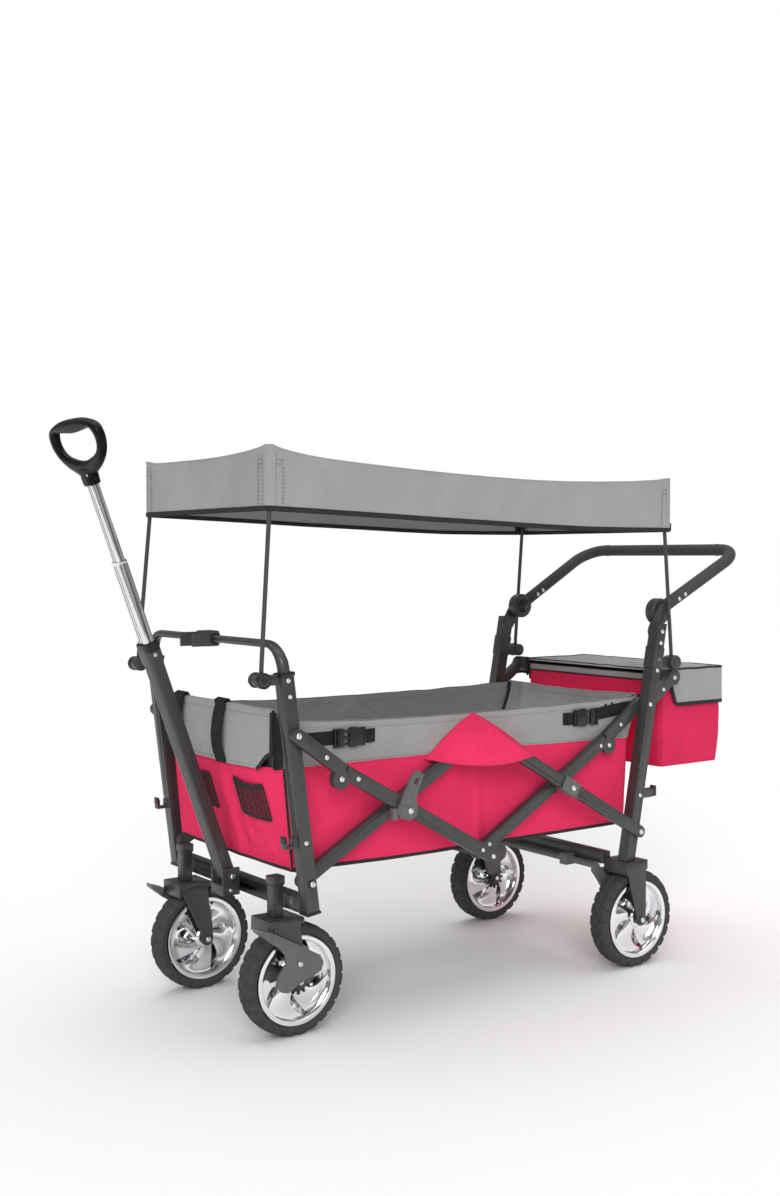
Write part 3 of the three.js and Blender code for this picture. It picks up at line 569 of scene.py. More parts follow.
def make_tyre(name, cx, cy):
    prof = [(81.6, -17.0), (83.5, -20.5), (87, -21.8), (91, -22.3), (94.5, -22.3), (97.5, -20.8), (99.8, -17.5), (100.8, -12.5), (101.3, -6), (101.4, -1.6), (100.0, 0), (101.4, 1.6), (101.3, 6), (100.8, 12.5), (99.8, 17.5), (97.5, 20.8), (94.5, 22.3), (91, 22.3), (87, 21.8), (83.5, 20.5), (81.6, 17.0)]
    lugs, sub = 24, 12
    n = lugs * sub
    vs, fs = [], []
    k = len(prof)
    for i in range(n):
        a = 2 * math.pi * i / n
        for j, (r, t) in enumerate(prof):
            side = -1 if t < 0 else 1
            c_ = (3.0 if side > 0 else -3.0) + 2.2 * math.cos(abs(t) * math.pi / 9.0)   # wavy cross grooves, staggered left to right
            d = ((i - c_ + sub / 2) % sub) - sub / 2
            gap = max(0.0, min(1.0, 2.1 - abs(d)))
            rr, tt = r, t
            if 92 < r and abs(t) > 12:
                rr -= gap * 3.2 * min(1, (abs(t) - 7) / 9)
                tt -= side * gap * 1.6 * (1 if abs(t) > 17 else 0.3)
            elif abs(t) > 1 and r > 100:
                rr -= gap * 3.0
            vs.append((cx + rr * math.cos(a), cy + tt, 101.5 + rr * math.sin(a)))
    for i in range(n):
        i2 = (i + 1) % n
        for j in range(k - 1):
            fs.append((i * k + j, i * k + j + 1, i2 * k + j + 1, i2 * k + j))
        fs.append((i * k + k - 1, i * k, i2 * k, i2 * k + k - 1))
    return vs, fs


def make_rim(cx, cy, side):
    """side is the outer face's direction along Y"""
    out = Mesh()
    # lip and well
    prof = [(71.6, -20.2), (73.2, -21.9), (78.5, -22.5), (80.9, -21.6), (81.3, -19.0), (80.2, -17.2), (76.5, -15.5), (76.5, 15.5), (80.2, 17.2), (81.3, 19.0), (80.9, 21.6), (78.5, 22.5), (73.2, 21.9), (71.6, 20.2), (71.0, 18.0), (70.6, 10), (70.0, 0), (70.6, -10), (71.0, -18.0), (71.6, -20.2)]
    out.add(turned(prof, 96, (cx, cy, 101.5)))
    # turbine blades on both faces
    nb = 5
    for sgn in (-1, 1):
        for b in range(nb):
            nr, nt = 16, 12
            th0 = 360.0 * b / nb
            vs = []
            for lay in (0, 1):
                for i in range(nr + 1):
                    f = i / nr
                    r = 14 + (71.5 - 14) * f
                    swirl = 38 * f ** 1.15 * (1 if sgn > 0 else -1) * side
                    half = 32.5 - 7.5 * math.sin(f * math.pi) ** 1.5
                    for j in range(nt + 1):
                        g = j / nt * 2 - 1
                        a = math.radians(th0 + swirl + g * half)
                        dish = 16.5 - 9.5 * f ** 0.8 + 3.5 * f ** 6
                        crown = 2.4 * (1 - g * g) * math.sin(min(1, f * 1.15) * math.pi) - 3.2 * max(0.0, -g) ** 1.5 * math.sin(f * math.pi)
                        y = dish + crown - lay * 3.0
                        vs.append((cx + r * math.cos(a), cy + sgn * y, 101.5 + r * math.sin(a)))
            kk, tot = nt + 1, (nr + 1) * (nt + 1)
            fs = []
            for i in range(nr):
                for j in range(nt):
                    a, b2, c, d = i * kk + j, i * kk + j + 1, (i + 1) * kk + j + 1, (i + 1) * kk + j
                    fs.append((a, b2, c, d))
                    fs.append((tot + a, tot + d, tot + c, tot + b2))
            for i in range(nr):
                fs.append((i * kk, (i + 1) * kk, tot + (i + 1) * kk, tot + i * kk))
                fs.append((i * kk + nt, tot + i * kk + nt, tot + (i + 1) * kk + nt, (i + 1) * kk + nt))
            for j in range(nt):
                fs.append((j, tot + j, tot + j + 1, j + 1))
                fs.append((nr * kk + j, nr * kk + j + 1, tot + nr * kk + j + 1, tot + nr * kk + j))
            out.add((vs, fs))
    # hub
    hub = [(5.6, -20.6), (11, -21.2), (15.5, -20.2), (18.5, -17.5), (19.2, -12), (19.2, 12), (18.5, 17.5), (15.5, 20.2), (11, 21.2), (5.6, 20.6), (5.6, -20.6)]
    out.add(turned(hub, 48, (cx, cy, 101.5)))
    return out


def make_gear(cx, cy, gs):
    pts = []
    for i in range(12):
        for rr, aa in ((18.6, -9.5), (19.4, -8), (24.2, -5.2), (24.6, -4), (24.6, 4), (24.2, 5.2), (19.4, 8), (18.6, 9.5)):
            a = math.radians(i * 30 + aa)
            pts.append((cx + rr * math.cos(a), 101.5 + rr * math.sin(a)))
    g = Mesh()
    y0, y1 = sorted((cy + gs * 20.6, cy + gs * 25.8))
    g.add(plate(pts, y0, y1, bev=0.6))
    g.add(turned([(6.2, 0), (13.5, 0), (14.5, -0.8), (14.5, -2.0)], 32, (cx, cy + gs * 26.6, 101.5), flip=gs))
    return g


for kind, wx, wy, gs in WHEELS:
    for s, sg in SIDES:
        body = f"wheel_{kind}_{s}"
        vs, fs = make_tyre("", wx, wy * sg)
        t = mk(f"tyre_{kind}_{s}_v", vs, fs, "tyre", body, "rubber_tyre", angle=38)
        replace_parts(t, f"tyre_{kind}_{s}")
        r = make_rim(wx, wy * sg, sg).make(f"rim_{kind}_{s}_v", "chrome", body, "steel_chrome", angle=35)
        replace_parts(r, f"rim_{kind}_{s}")
        make_gear(wx, wy * sg, gs * sg).make(f"brake_gear_{kind}_{s}", "black", body, "plastic_black")


# ------------------------------------------------------------------ rivets, bolts, caps
def rivet_set(name, body, items, mat="zinc", slot="steel_chrome"):
    g = Mesh()
    for it in items:
        g.add(rivet(*it))
    g.make(name, mat, body, slot)


def along(P, Q, t):
    return (P[0] + (Q[0] - P[0]) * t, P[1] + (Q[1] - P[1]) * t)


fr, rr_, ct, kd, tf, dg, lf, lr, pb = [], [], [], [], [], [], [], [], []
for s, sg in SIDES:
    Y = lambda y: y * sg
    n = (0, sg, 0)
    o, i = 257.0, 271.6
    # front posts
    for z in (645, 361):
        fr.append(((fpx(z), Y(o), z), n, 4.6, 2.2))
    fr.append(((C[0], Y(259.4), C[1]), n, 5.6, 2.6))
    for z in (617,):
        fr.append(((fpx(z), Y(o), z), n, 4.2, 2.0))
    # rear posts
    for z in (700, 676, 642, 619, 361):
        rr_.append(((rpx(z) + 2, Y(o), z), n, 4.6, 2.2))
    rr_.append(((G[0] + 1, Y(o), G[1]), n, 5.0, 2.4))
    rr_.append(((486, Y(252.0), 577.5), n, 4.4, 2.0))
    rr_.append(((520, Y(252.0), 601), n, 5.0, 2.2))
    # arms
    kd.append(((D[0], Y(i), D[1]), n, 5.0, 2.4))
    kd.append(((D[0] - 26, Y(i), D[1] + 15.5), n, 4.2, 2.0))
    q = along(Bp, (Bp[0] - 161 * math.cos(PHI), Bp[1] + 161 * math.sin(PHI)), 0.80)
    kd.append(((q[0], Y(i), q[1]), n, 4.6, 2.2))
    lf.append(((K[0], Y(i), K[1]), n, 5.4, 2.6))
    lf.append(((A[0], Y(i), A[1]), n, 5.8, 2.8))
    q = along(K, A, 0.42)
    a = math.atan2(A[1] - K[1], A[0] - K[0])
    lf.append(((q[0] + 8.5 * math.sin(a) * 1, Y(i), q[1] - 8.5 * math.cos(a)), n, 4.6, 2.2))
    tf.append(((F[0], Y(i), F[1]), n, 5.8, 2.8))
    dg.append(((D[0] + 24, Y(231.4), D[1] + 14), n, 4.4, 2.0))
    dg.append(((L[0] - 24, Y(231.4), L[1] + 0.5), n, 4.4, 2.0))
    lr.append(((L[0], Y(231.4), L[1]), n, 5.2, 2.4))
    q = along(L, G, 0.42)
    a = math.atan2(G[1] - L[1], G[0] - L[0])
    lr.append(((q[0] - 8.5 * math.sin(a), Y(231.4), q[1] + 8.5 * math.cos(a)), n, 4.6, 2.2))
    # push bar arm rivets, outside
    dx, dz = 745 - 500, 873 - 741
    ln = math.hypot(dx, dz)
    for d in (56, 76):
        y = 221.3 + (240 - 221.3) * (d - 12) / (ln - 12)
        pb.append(((500 + dx * d / ln, Y(y + 12.8), 741 + dz * d / ln), n, 4.4, 2.2))
        pb.append(((500 + dx * d / ln, Y(y - 12.8), 741 + dz * d / ln), (0, -sg, 0), 4.4, 2.2))
rivet_set("rivets_front_frame", "front_frame", fr)
rivet_set("rivets_rear_frame", "rear_frame", rr_)
rivet_set("rivets_arm_front_upper", "arm_kd", kd)
rivet_set("rivets_link_front", "link_f", lf)
rivet_set("rivets_arm_rear_upper", "arm_tf", tf)
rivet_set("rivets_arm_rear_lower", "arm_dg", dg)
rivet_set("rivets_link_rear", "link_r", lr)
rivet_set("rivets_push_bar", "push", pb)
hs = math.sin(math.radians(20)), math.cos(math.radians(20))
hp = lambda s, t=0: (-427 - s * hs[0] + t * hs[1], 262 + s * hs[1] + t * hs[0])
rivet_set("rivets_handle_foot", "front_frame", [((-427, 26.5, 262), (0, 1, 0), 5.4, 2.6), ((-427, -26.5, 262), (0, -1, 0), 5.4, 2.6), ((-430, 23.4, 236), (0, 1, 0), 3.6, 1.8), ((-430, -23.4, 236), (0, -1, 0), 3.6, 1.8)])
q = hp(446)
rivet_set("rivets_handle_top", "handle", [((q[0], 19, q[1]), (0, 1, 0), 3.8, 1.1), ((q[0], -19, q[1]), (0, -1, 0), 3.8, 1.1)])
for s, sg in SIDES:
    rivet_set(f"bolts_caster_{s}", f"caster_{s}", [((-390, sg * (171 - 35), 101.5), (0, -sg, 0), 5.5, 2.6), ((-390, sg * (171 + 34.4), 101.5), (0, sg, 0), 5.0, 0.5)])
    rivet_set(f"bolts_caster_brake_{s}", f"caster_brake_{s}", [((-397, sg * 214, 137), (0, sg, 0), 5.2, 2.6)])
    rivet_set(f"bolts_rear_fork_{s}", "rear_frame", [((411, sg * (232 + 35), 101.5), (0, sg, 0), 5.5, 2.6), ((411, sg * (232 - 34.2), 101.5), (0, -sg, 0), 4.8, 0.4)])
    rivet_set(f"pin_lock_{s}", f"lock_{s}", [((-203, sg * 279.6, 398), (0, sg, 0), 6.0, 3.0)])

# grey plastic saddles where the rear arms cross, on the outer arm
for s, sg in SIDES:
    g = Mesh()
    a = math.atan2(288 - 515, 400)
    R = [[math.cos(a), 0, -math.sin(a)], [0, 1, 0], [math.sin(a), 0, math.cos(a)]]
    g.add(slab((E[0], sg * 273.4, E[1]), (44, 3.2, 29), R, 0.3))
    g.add(slab((E[0] + 13.9 * math.sin(a) * -1, sg * 264.5, E[1] + 13.9 * math.cos(a)), (44, 19, 2.4), R, 0.3))
    g.add(slab((E[0] + 13.9 * math.sin(a), sg * 264.5, E[1] - 13.9 * math.cos(a)), (44, 19, 2.4), R, 0.3))
    g.make(f"arm_saddle_{s}", "pgrey", "arm_tf", "plastic_grey")
    rivet_set(f"arm_saddle_rivet_{s}", "arm_tf", [((E[0] + 5, sg * 275.0, E[1] - 3), (0, sg, 0), 5.8, 2.8)])
    # ribs and rim on the lock lever
    g = Mesh()
    g.add(plate([(-226, 392), (-206, 384), (-192, 392), (-198, 402), (-222, 410)], *sorted((sg * 279.4, sg * 281.2)), bev=0.5))
    lev = [(-214, 420), (-200, 444), (-190, 464)]
    g.add(tube([(p[0] - 4, sg * 279.8, p[1]) for p in lev], 1.2, 8))
    g.add(tube([(p[0] + 12, sg * 279.8, p[1] - 2) for p in lev], 1.2, 8))
    g.make(f"lock_lever_ribs_{s}", "pgrey", f"lock_{s}", "plastic_grey")
    g = Mesh()
    g.add(slab((-236, sg * 272.6, 395), (10, 13, 22), None, 0.25))
    g.make(f"lock_plate_{s}", "pgrey", "arm_kd", "plastic_grey")

# plastic feet on the posts, collars and small fittings
g = Mesh()
for s, sg in SIDES:
    g.add(slab((fpx(236) , sg * 244.5, 235.5), (28.5, 28.5, 5), [[1, 0, -0.126], [0, 1, 0], [0.126, 0, 1]], 0.3))
    g.add(slab((fpx(655), sg * 244.5, 655.5), (28.6, 28.6, 7), [[1, 0, -0.126], [0, 1, 0], [0.126, 0, 1]], 0.3))
    g.add(turned([(8, -1), (12.8, -1), (14.0, 1.0), (14.0, 8), (12.8, 10), (10.5, 10), (9.5, 8.5), (6.5, 8.5), (6.0, 10), (0.01, 10)], 32, (-492, sg * 243, 646), flip=sg))
    g.add(turned([(12.6, -3), (13.6, -2), (13.6, 2), (12.6, 3)], 32, (-492, sg * 222, 646)))
    # clip on the front post
    g.add(slab((-449, sg * 241, 368), (5, 15, 13), None, 0.3))
g.make("post_fittings_front", "black", "front_frame", "plastic_black")
g = Mesh()
for s, sg in SIDES:
    g.add(turned([(9, -1), (14.2, -1), (15.2, 1), (15.2, 7), (14.0, 9), (11.5, 9), (10.5, 7.5), (7, 7.5), (6.4, 9), (0.01, 9)], 32, (512, sg * 255, 634), flip=sg))
    g.add(slab((rpx(646), sg * 244.5, 646), (30, 29, 46), [[math.cos(0.19), 0, 0.186], [0, 1, 0], [-0.186, 0, math.cos(0.19)]], 0.12))
    g.add(slab((466, sg * 242, 364), (5, 15, 22), None, 0.3))
g.make("post_fittings_rear", "steel", "rear_frame", "steel_coated")

# ------------------------------------------------------------------ handle: grooves, cap and collar, grip
g = Mesh()
for t, w, s0, s1 in ((13.05, 34, 8, 428),):
    for y in (-6.5, 6.5):
        a, b = hp(s0, -t), hp(s1, -t)
        g.add(ribbon([(a[0], y, a[1]), (b[0], y, b[1])], (0, 1, 0), 1.6, 1.0))
        a, b = hp(s0, t), hp(s1, t)
        g.add(ribbon([(a[0], y, a[1]), (b[0], y, b[1])], (0, 1, 0), 1.6, 1.0))
    for sgn in (-1, 1):
        a, b = hp(s0, 0), hp(s1, 0)
        g.add(ribbon([(a[0], sgn * 17.05, a[1]), (b[0], sgn * 17.05, b[1])], (hs[1], 0, hs[0]), 1.6, 1.0))
g.make("handle_tube_ridges", "steel", "handle", "steel_coated")
for nm, body, s0, s1, hw, ht in (("mid", "handle_mid", 300, 618, 14.0, 10.0), ("top", "handle_top", 470, 768, 11.7, 7.7)):
    g = Mesh()
    # dark coated-steel strips on the chrome faces stand for the grooves: painted shade in the recesses
    for y in (-hw * 0.30, hw * 0.30):
        for t in (-ht - 0.1, ht + 0.1):
            a, b = hp(s0, t), hp(s1, t)
            g.add(ribbon([(a[0], y, a[1]), (b[0], y, b[1])], (0, 1, 0), 1.3, 0.5), 1)
    for sgn in (-1, 1):
        a, b = hp(s0, 0), hp(s1, 0)
        g.add(ribbon([(a[0], sgn * (hw + 0.1), a[1]), (b[0], sgn * (hw + 0.1), b[1])], (hs[1], 0, hs[0]), 1.5, 0.5), 1)
    for y in (-hw * 0.62, 0.0, hw * 0.62):
        for t in (-ht, ht):
            a, b = hp(s0, t * 1.0), hp(s1, t * 1.0)
            g.add(tube([(a[0], y, a[1]), (b[0], y, b[1])], 1.0, 8))
    g.make(f"handle_{nm}_grooves", ["chrome_tube", "steel"], body, "steel_chrome")
g = Mesh()
for s0, w, t_, body in ((619, 30, 22, "handle_mid"),):
    q = hp(s0)
    R = [[hs[1], 0, -hs[0]], [0, 1, 0], [hs[0], 0, hs[1]]]
    g.add(slab((q[0], 0, q[1]), (t_, w, 7), R, 0.25))
# the ring is hollow in the real handle; the inner tube passes through it
ferr = g


def superell(a, b, n, th):
    c, s_ = math.cos(th), math.sin(th)
    return a * math.copysign(abs(c) ** (2 / n), c), b * math.copysign(abs(s_) ** (2 / n), s_)


def ring_collar(s0, s1, w, t, wall, name, mat, body, slot):
    vs, fs = [], []
    N = 40
    secs = [(s0, 0), (s0 + 1, wall * 0.9), (s1 - 1.2, wall), (s1, wall * 0.6), (s1, 0)]
    for (s_, gr) in secs:
        for k in range(N):
            y, x = superell(w / 2 + gr, t / 2 + gr, 5, 2 * math.pi * k / N)
            q = hp(s_, x)
            vs.append((q[0], y, q[1]))
    for i in range(len(secs) - 1):
        for k in range(N):
            fs.append((i * N + k, i * N + (k + 1) % N, (i + 1) * N + (k + 1) % N, (i + 1) * N + k))
    return mk(name, vs, fs, mat, body, slot)


ring_collar(453, 469.2, 38, 30, 0.9, "handle_tube_cap", "black", "handle", "plastic_black")
ring_collar(619.6, 625.2, 28, 20, 0.9, "handle_mid_collar", "chrome_tube", "handle_mid", "plastic_black")


def make_grip():
    """D grip: sections lofted between an outer outline and the hand hole, on a waisted neck"""
    pairs = [((103, 77), (84, 77)), ((93, 101), (73, 97)), ((52, 114), (44, 95)), ((0, 117), (0, 92)), ((-52, 114), (-44, 95)), ((-93, 101), (-73, 97)),
             ((-103, 77), (-84, 77)), ((-89, 50), (-71, 57)), ((-52, 26), (-39, 46)), ((0, 12), (0, 41)), ((52, 26), (39, 46)), ((89, 50), (71, 57))]
    thick = [8.6, 9.8, 11.0, 11.6, 11.0, 9.8, 8.6, 8.2, 8.4, 8.8, 8.4, 8.2]
    A_ = np.array([[*o_, *i_, t_] for (o_, i_), t_ in zip(pairs, thick)], float)
    n0, sub, Mn = len(A_), 10, 24
    rows = []
    for i in range(n0):
        p0, p1, p2, p3 = A_[i - 1], A_[i], A_[(i + 1) % n0], A_[(i + 2) % n0]
        for k in range(sub):
            t = k / sub
            rows.append(0.5 * (2 * p1 + (p2 - p0) * t + (2 * p0 - 5 * p1 + 4 * p2 - p3) * t * t + (3 * p1 - p0 - 3 * p2 + p3) * t ** 3))
    N = len(rows)
    vs, fs = [], []
    for row in rows:
        oy, os_, iy, is_, th_ = row
        for k in range(Mn):
            a = 2 * math.pi * k / Mn
            u = math.copysign(abs(math.cos(a)) ** 0.85, math.cos(a))
            v = math.copysign(abs(math.sin(a)) ** 0.75, math.sin(a)) * th_
            y = (oy + iy) / 2 + (oy - iy) / 2 * u
            al = 770 + (os_ + is_) / 2 + (os_ - is_) / 2 * u
            q = hp(al, v)
            vs.append((q[0], y, q[1]))
    for i in range(N):
        for k in range(Mn):
            i2 = (i + 1) % N
            fs.append((i * Mn + k, i * Mn + (k + 1) % Mn, i2 * Mn + (k + 1) % Mn, i2 * Mn + k))
    g = Mesh()
    g.add((vs, fs))
    secs = [(768, 16.5, 11.6), (770, 18.4, 12.4), (777, 19.4, 12.4), (783, 22.5, 11.8), (789, 28, 10.8), (795, 36, 9.8), (800, 43, 8.6), (803, 44, 6.5)]
    vs, fs = [], []
    Nn = 40
    for s_, w, t in secs:
        for k in range(Nn):
            y, x = superell(w, t, 3.0, 2 * math.pi * k / Nn)
            q = hp(s_, x)
            vs.append((q[0], y, q[1]))
    for i in range(len(secs) - 1):
        for k in range(Nn):
            fs.append((i * Nn + k, i * Nn + (k + 1) % Nn, (i + 1) * Nn + (k + 1) % Nn, (i + 1) * Nn + k))
    fs.append(tuple(range(Nn - 1, -1, -1)))
    fs.append(tuple((len(secs) - 1) * Nn + k for k in range(Nn)))
    g.add((vs, fs))
    return g


o = make_grip().make("grip_v", "grip", "handle_top", "plastic_black", angle=50)
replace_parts(o, "grip")
it = []
for y, s_ in ((-14, 787), (14, 787)):
    for t, sgn in ((-10.6, -1),):
        q = hp(s_, t)
        it.append(((q[0], y, q[1]), (sgn * hs[1], 0, sgn * hs[0]), 2.6, 0.9))
rivet_set("grip_screws", "handle_top", it)

# ------------------------------------------------------------------ soft goods: helpers
def nz(x, y, z=0.0):
    return mnoise.noise(Vector((x, y, z)))


def s01(t):
    t = min(1.0, max(0.0, t))
    return t * t * (3 - 2 * t)


def lin(tab, x):
    return float(np.interp(x, [p[0] for p in tab], [p[1] for p in tab]))


def crease(x, z, seg):
    """a soft ridge (or, with a negative height, a valley) along a line"""
    x0, z0, x1, z1, w, h = seg
    dx, dz = x1 - x0, z1 - z0
    t = ((x - x0) * dx + (z - z0) * dz) / (dx * dx + dz * dz)
    if t < -0.2 or t > 1.2:
        return 0.0
    d2 = (x - x0 - t * dx) ** 2 + (z - z0 - t * dz) ** 2
    return h * s01((t + 0.2) / 0.35) * s01((1.2 - t) / 0.35) * math.exp(-d2 / (w * w))


def soft(name, vf, mats, body, slot, out, t=1.1, mids=None, moff=0, rim=0, angle=70, offset=0.0):
    """an open sheet of cloth with thickness; out is the outer direction, or a function of position giving it"""
    o = mk(name, vf[0], vf[1], mats, None, slot, mids=mids, angle=angle)
    s = 0.0
    for p in o.data.polygons:
        d = out(p.center * 1000) if callable(out) else out
        s += p.area * Vector(d).dot(p.normal)
    if s < 0:
        o.data.flip_normals()
    m_ = o.modifiers.new("thick", "SOLIDIFY")
    m_.thickness = t / 1000.0
    m_.offset = offset
    m_.material_offset = moff
    m_.material_offset_rim = rim
    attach(o, body)
    return o


def stitches(pts, r=0.55, dash=4.2, gap=2.6):
    """a row of short thread stitches along a polyline"""
    P = np.array(pts, float)
    seg = np.linalg.norm(np.diff(P, axis=0), axis=1)
    cum = np.concatenate([[0], np.cumsum(seg)])
    n = max(1, int(cum[-1] / (dash + gap)))
    at = lambda d: np.array([np.interp(d, cum, P[:, k]) for k in range(3)])
    vs, fs = [], []
    for i in range(n):
        a, b = at(i * (dash + gap)), at(i * (dash + gap) + dash)
        v, f = tube([a, (a + b) / 2, b], [r * 0.6, r, r * 0.6], 5)
        k = len(vs)
        vs += [tuple(p) for p in v]
        fs += [tuple(j + k for j in q) for q in f]
    return vs, fs


def fit(o):
    return o


def squash(o):
    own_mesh(o)
    return o


# ------------------------------------------------------------------ tub sides
TOPX = [(-436, 572), (-340, 563.5), (-250, 559), (-120, 556.5), (0, 556), (120, 556), (250, 557), (360, 559), (462, 562.5)]
BOTX = [(-410, 304), (-200, 298.5), (0, 297.5), (200, 297), (414, 297)]
BNDX = [(-436, 484), (0, 485), (457, 474)]
TUB_CREASES = [
    (-395, 330, -250, 425, 13, 1.7), (-380, 470, -180, 380, 16, -1.4), (-250, 320, -60, 300, 10, 1.1),
    (60, 330, 210, 440, 13, 1.6), (240, 470, 390, 340, 15, 1.5), (120, 420, 330, 460, 18, -1.3),
    (-330, 555, -240, 500, 14, 1.4), (330, 552, 250, 500, 13, 1.3), (-60, 550, -160, 500, 15, 1.0),
    (70, 552, 160, 500, 15, 1.1), (430, 540, 380, 440, 16, -1.6), (-425, 520, -370, 400, 12, 1.2),
    (-14, 305, -9, 455, 7, 1.8), (13, 305, 8, 440, 6, 1.5), (38, 305, 24, 420, 8, -1.7), (-42, 305, -30, 410, 8, -1.5),
]


def tub_disp(x, z, sg):
    z0, z1, zb = lin(BOTX, x), lin(TOPX, x), lin(BNDX, x)
    v = (z - z0) / (z1 - z0)
    u = (x + 410) / 866
    edge = s01(u / 0.035) * s01((1 - u) / 0.035)
    d = 1.6 * math.sin(math.pi * min(1, max(0, v))) * (0.5 + 0.5 * math.cos(x / 130.0))
    d -= 2.2 * s01((v - 0.6) / 0.4) * math.sin(math.pi * min(1, max(0, u))) ** 0.7
    win = math.exp(-(x / 62.0) ** 2) * s01((478 - z) / 90.0) * s01((v + 0.02) / 0.05)
    d += 1.3 * win * math.sin(x / 8.5 + 0.5 * math.sin(z / 37.0))
    k = 1 if sg < 0 else -1
    for c in TUB_CREASES:
        d += crease(x * 1.0, z, c)
    d += 1.5 * nz(x / 95.0, z / 80.0, 3.1 * k) + 0.8 * nz(x / 33.0, z / 41.0, 9.7 * k) + 0.25 * nz(x / 11.0, z / 12.0, 5.5 * k)
    d *= edge
    if z > zb:
        d += 0.8 * s01((z - zb) / 2.0)
    d += 0.8 * s01((z - (z1 - 12)) / 2.0)
    return d


def tub_y(x, z, sg, off=0.0):
    return sg * (206.6 + tub_disp(x, z, sg) + off)


def rear_x(v):
    """rear edge of the tub: nearly upright, drawn to the post at the top"""
    return 413.5 + 12.0 * v + 26.0 * s01((v - 0.60) / 0.40)


def tub_grid(sg, nu=190, nb=38, nt=17):
    vs, fs, mids = [], [], []
    for i in range(nu + 1):
        u = i / nu
        for j in range(nb + nt + 1):
            xm = -410 + 824 * u
            vb = (lin(BNDX, xm) - lin(BOTX, xm)) / (lin(TOPX, xm) - lin(BOTX, xm))
            v = vb * j / nb if j <= nb else vb + (1 - vb) * (j - nb) / nt
            xa, xb = -408.5 - 26.5 * v, rear_x(v)
            x = xa + (xb - xa) * u
            z0, z1 = lin(BOTX, x), lin(TOPX, x)
            z1 += 1.6 * nz(x / 60.0, 1.0, 2.0 * sg) - 3.0 * math.sin(math.pi * u) * 0
            z = z0 + (z1 - z0) * v
            vs.append((x, tub_y(x, z, sg), z))
    k = nb + nt + 1
    for i in range(nu):
        for j in range(nb + nt):
            fs.append((i * k + j, (i + 1) * k + j, (i + 1) * k + j + 1, i * k + j + 1))
            mids.append(0 if j < nb else 1)
    return vs, fs, mids


def line_on_tub(sg, pts, off, n=60):
    """points on the tub side's surface along an (x, z) polyline, off mm out of it"""
    P = np.array(pts, float)
    seg = np.linalg.norm(np.diff(P, axis=0), axis=1)
    cum = np.concatenate([[0], np.cumsum(seg)])
    out = []
    for d in np.linspace(0, cum[-1], n):
        x, z = float(np.interp(d, cum, P[:, 0])), float(np.interp(d, cum, P[:, 1]))
        out.append((x, tub_y(x, z, sg, off), z))
    return out


def obstacle(x, z):
    """the least distance from the middle plane at which cloth clears the crossed arms under the flap"""
    h = 0.0
    r = math.hypot(x, z - 515)
    if r < 19.5:
        h = 273.6
    # arm from C to T, inner layer, and arm from T to F, outer layer
    t = math.atan2(227, 400)
    if x < 4:
        d = abs((x) * math.sin(t) - (z - 515) * math.cos(t))
        if d < 13.5:
            h = max(h, 233.4)
    if x > -4:
        d = abs((x) * math.sin(-t) - (z - 515) * math.cos(-t))
        if d < 13.5:
            h = max(h, 273.6)
    return h


def flap(sg):
    """triangular flap over the middle knuckle: cloth stretched over the arms, sewn along its two upper edges, free below"""
    ns, nt = 72, 56
    X = np.zeros((ns + 1, nt + 1))
    Z = np.zeros_like(X)
    for i in range(ns + 1):
        s = i / ns
        for j in range(nt + 1):
            t = j / nt
            xl, zl = -117 * t, 557 - 80 * t + 5 * math.sin(math.pi * t)
            xr, zr = 130 * t, 557 - 77 * t + 4 * math.sin(math.pi * t)
            drop = 17.0 * math.sin(math.pi * s) ** 0.9 * t ** 1.5
            X[i, j] = xl + (xr - xl) * s
            Z[i, j] = zl + (zr - zl) * s - drop
    base = np.array([[abs(tub_y(X[i, j], min(Z[i, j], lin(TOPX, X[i, j])), sg)) + 1.7 for j in range(nt + 1)] for i in range(ns + 1)])
    H = np.array([[obstacle(X[i, j], Z[i, j]) for j in range(nt + 1)] for i in range(ns + 1)])
    # the whole lower right part hangs in front of the outer arm
    for j in range(nt + 1):
        for i in range(ns + 1):
            if i / ns > 0.93 or i / ns < 0.03:
                H[i, j] = 0
    lo = np.maximum(base, H)
    Y = lo.copy()
    pin = np.zeros_like(Y, bool)
    pin[0, :], pin[-1, :], pin[:, 0] = True, True, True
    Y[pin] = base[pin]
    for it in range(1600):
        N = Y.copy()
        N[1:-1, 1:-1] = (Y[:-2, 1:-1] + Y[2:, 1:-1] + Y[1:-1, :-2] + Y[1:-1, 2:]) / 4
        N[1:-1, -1] = (Y[:-2, -1] + Y[2:, -1] + 2 * Y[1:-1, -2]) / 4
        N = np.maximum(N, lo)
        N[pin] = base[pin]
        Y = N
    # soften, then small folds hanging from the knuckle
    for it in range(6):
        N = Y.copy()
        N[1:-1, 1:-1] = (Y[:-2, 1:-1] + Y[2:, 1:-1] + Y[1:-1, :-2] + Y[1:-1, 2:]) / 4
        N[pin] = base[pin]
        Y = np.maximum(N, base)
    vs, fs = [], []
    for i in range(ns + 1):
        for j in range(nt + 1):
            s, t = i / ns, j / nt
            w = s01(t / 0.4) * math.sin(math.pi * s)
            y = Y[i, j] + w * (1.0 + 0.9 * math.sin(s * 19 + 1.2 * math.sin(t * 5)) + 1.2 * nz(X[i, j] / 30, Z[i, j] / 30, sg))
            vs.append((X[i, j], sg * y, Z[i, j]))
    k = nt + 1
    for i in range(ns):
        for j in range(nt):
            fs.append((i * k + j, (i + 1) * k + j, (i + 1) * k + j + 1, i * k + j + 1))
    hem = [vs[i * k + nt] for i in range(ns + 1)]
    hem2 = [tuple(np.array(vs[i * k + nt - 3]) + np.array([0, sg * 0.75, 0])) for i in range(2, ns - 1)]
    left = [tuple(np.array(vs[0 * k + j]) + np.array([2, sg * 1.0, 0])) for j in range(2, nt + 1)]
    right_ = [tuple(np.array(vs[ns * k + j]) + np.array([-2, sg * 1.0, 0])) for j in range(2, nt + 1)]
    return (vs, fs), hem, hem2, left, right_


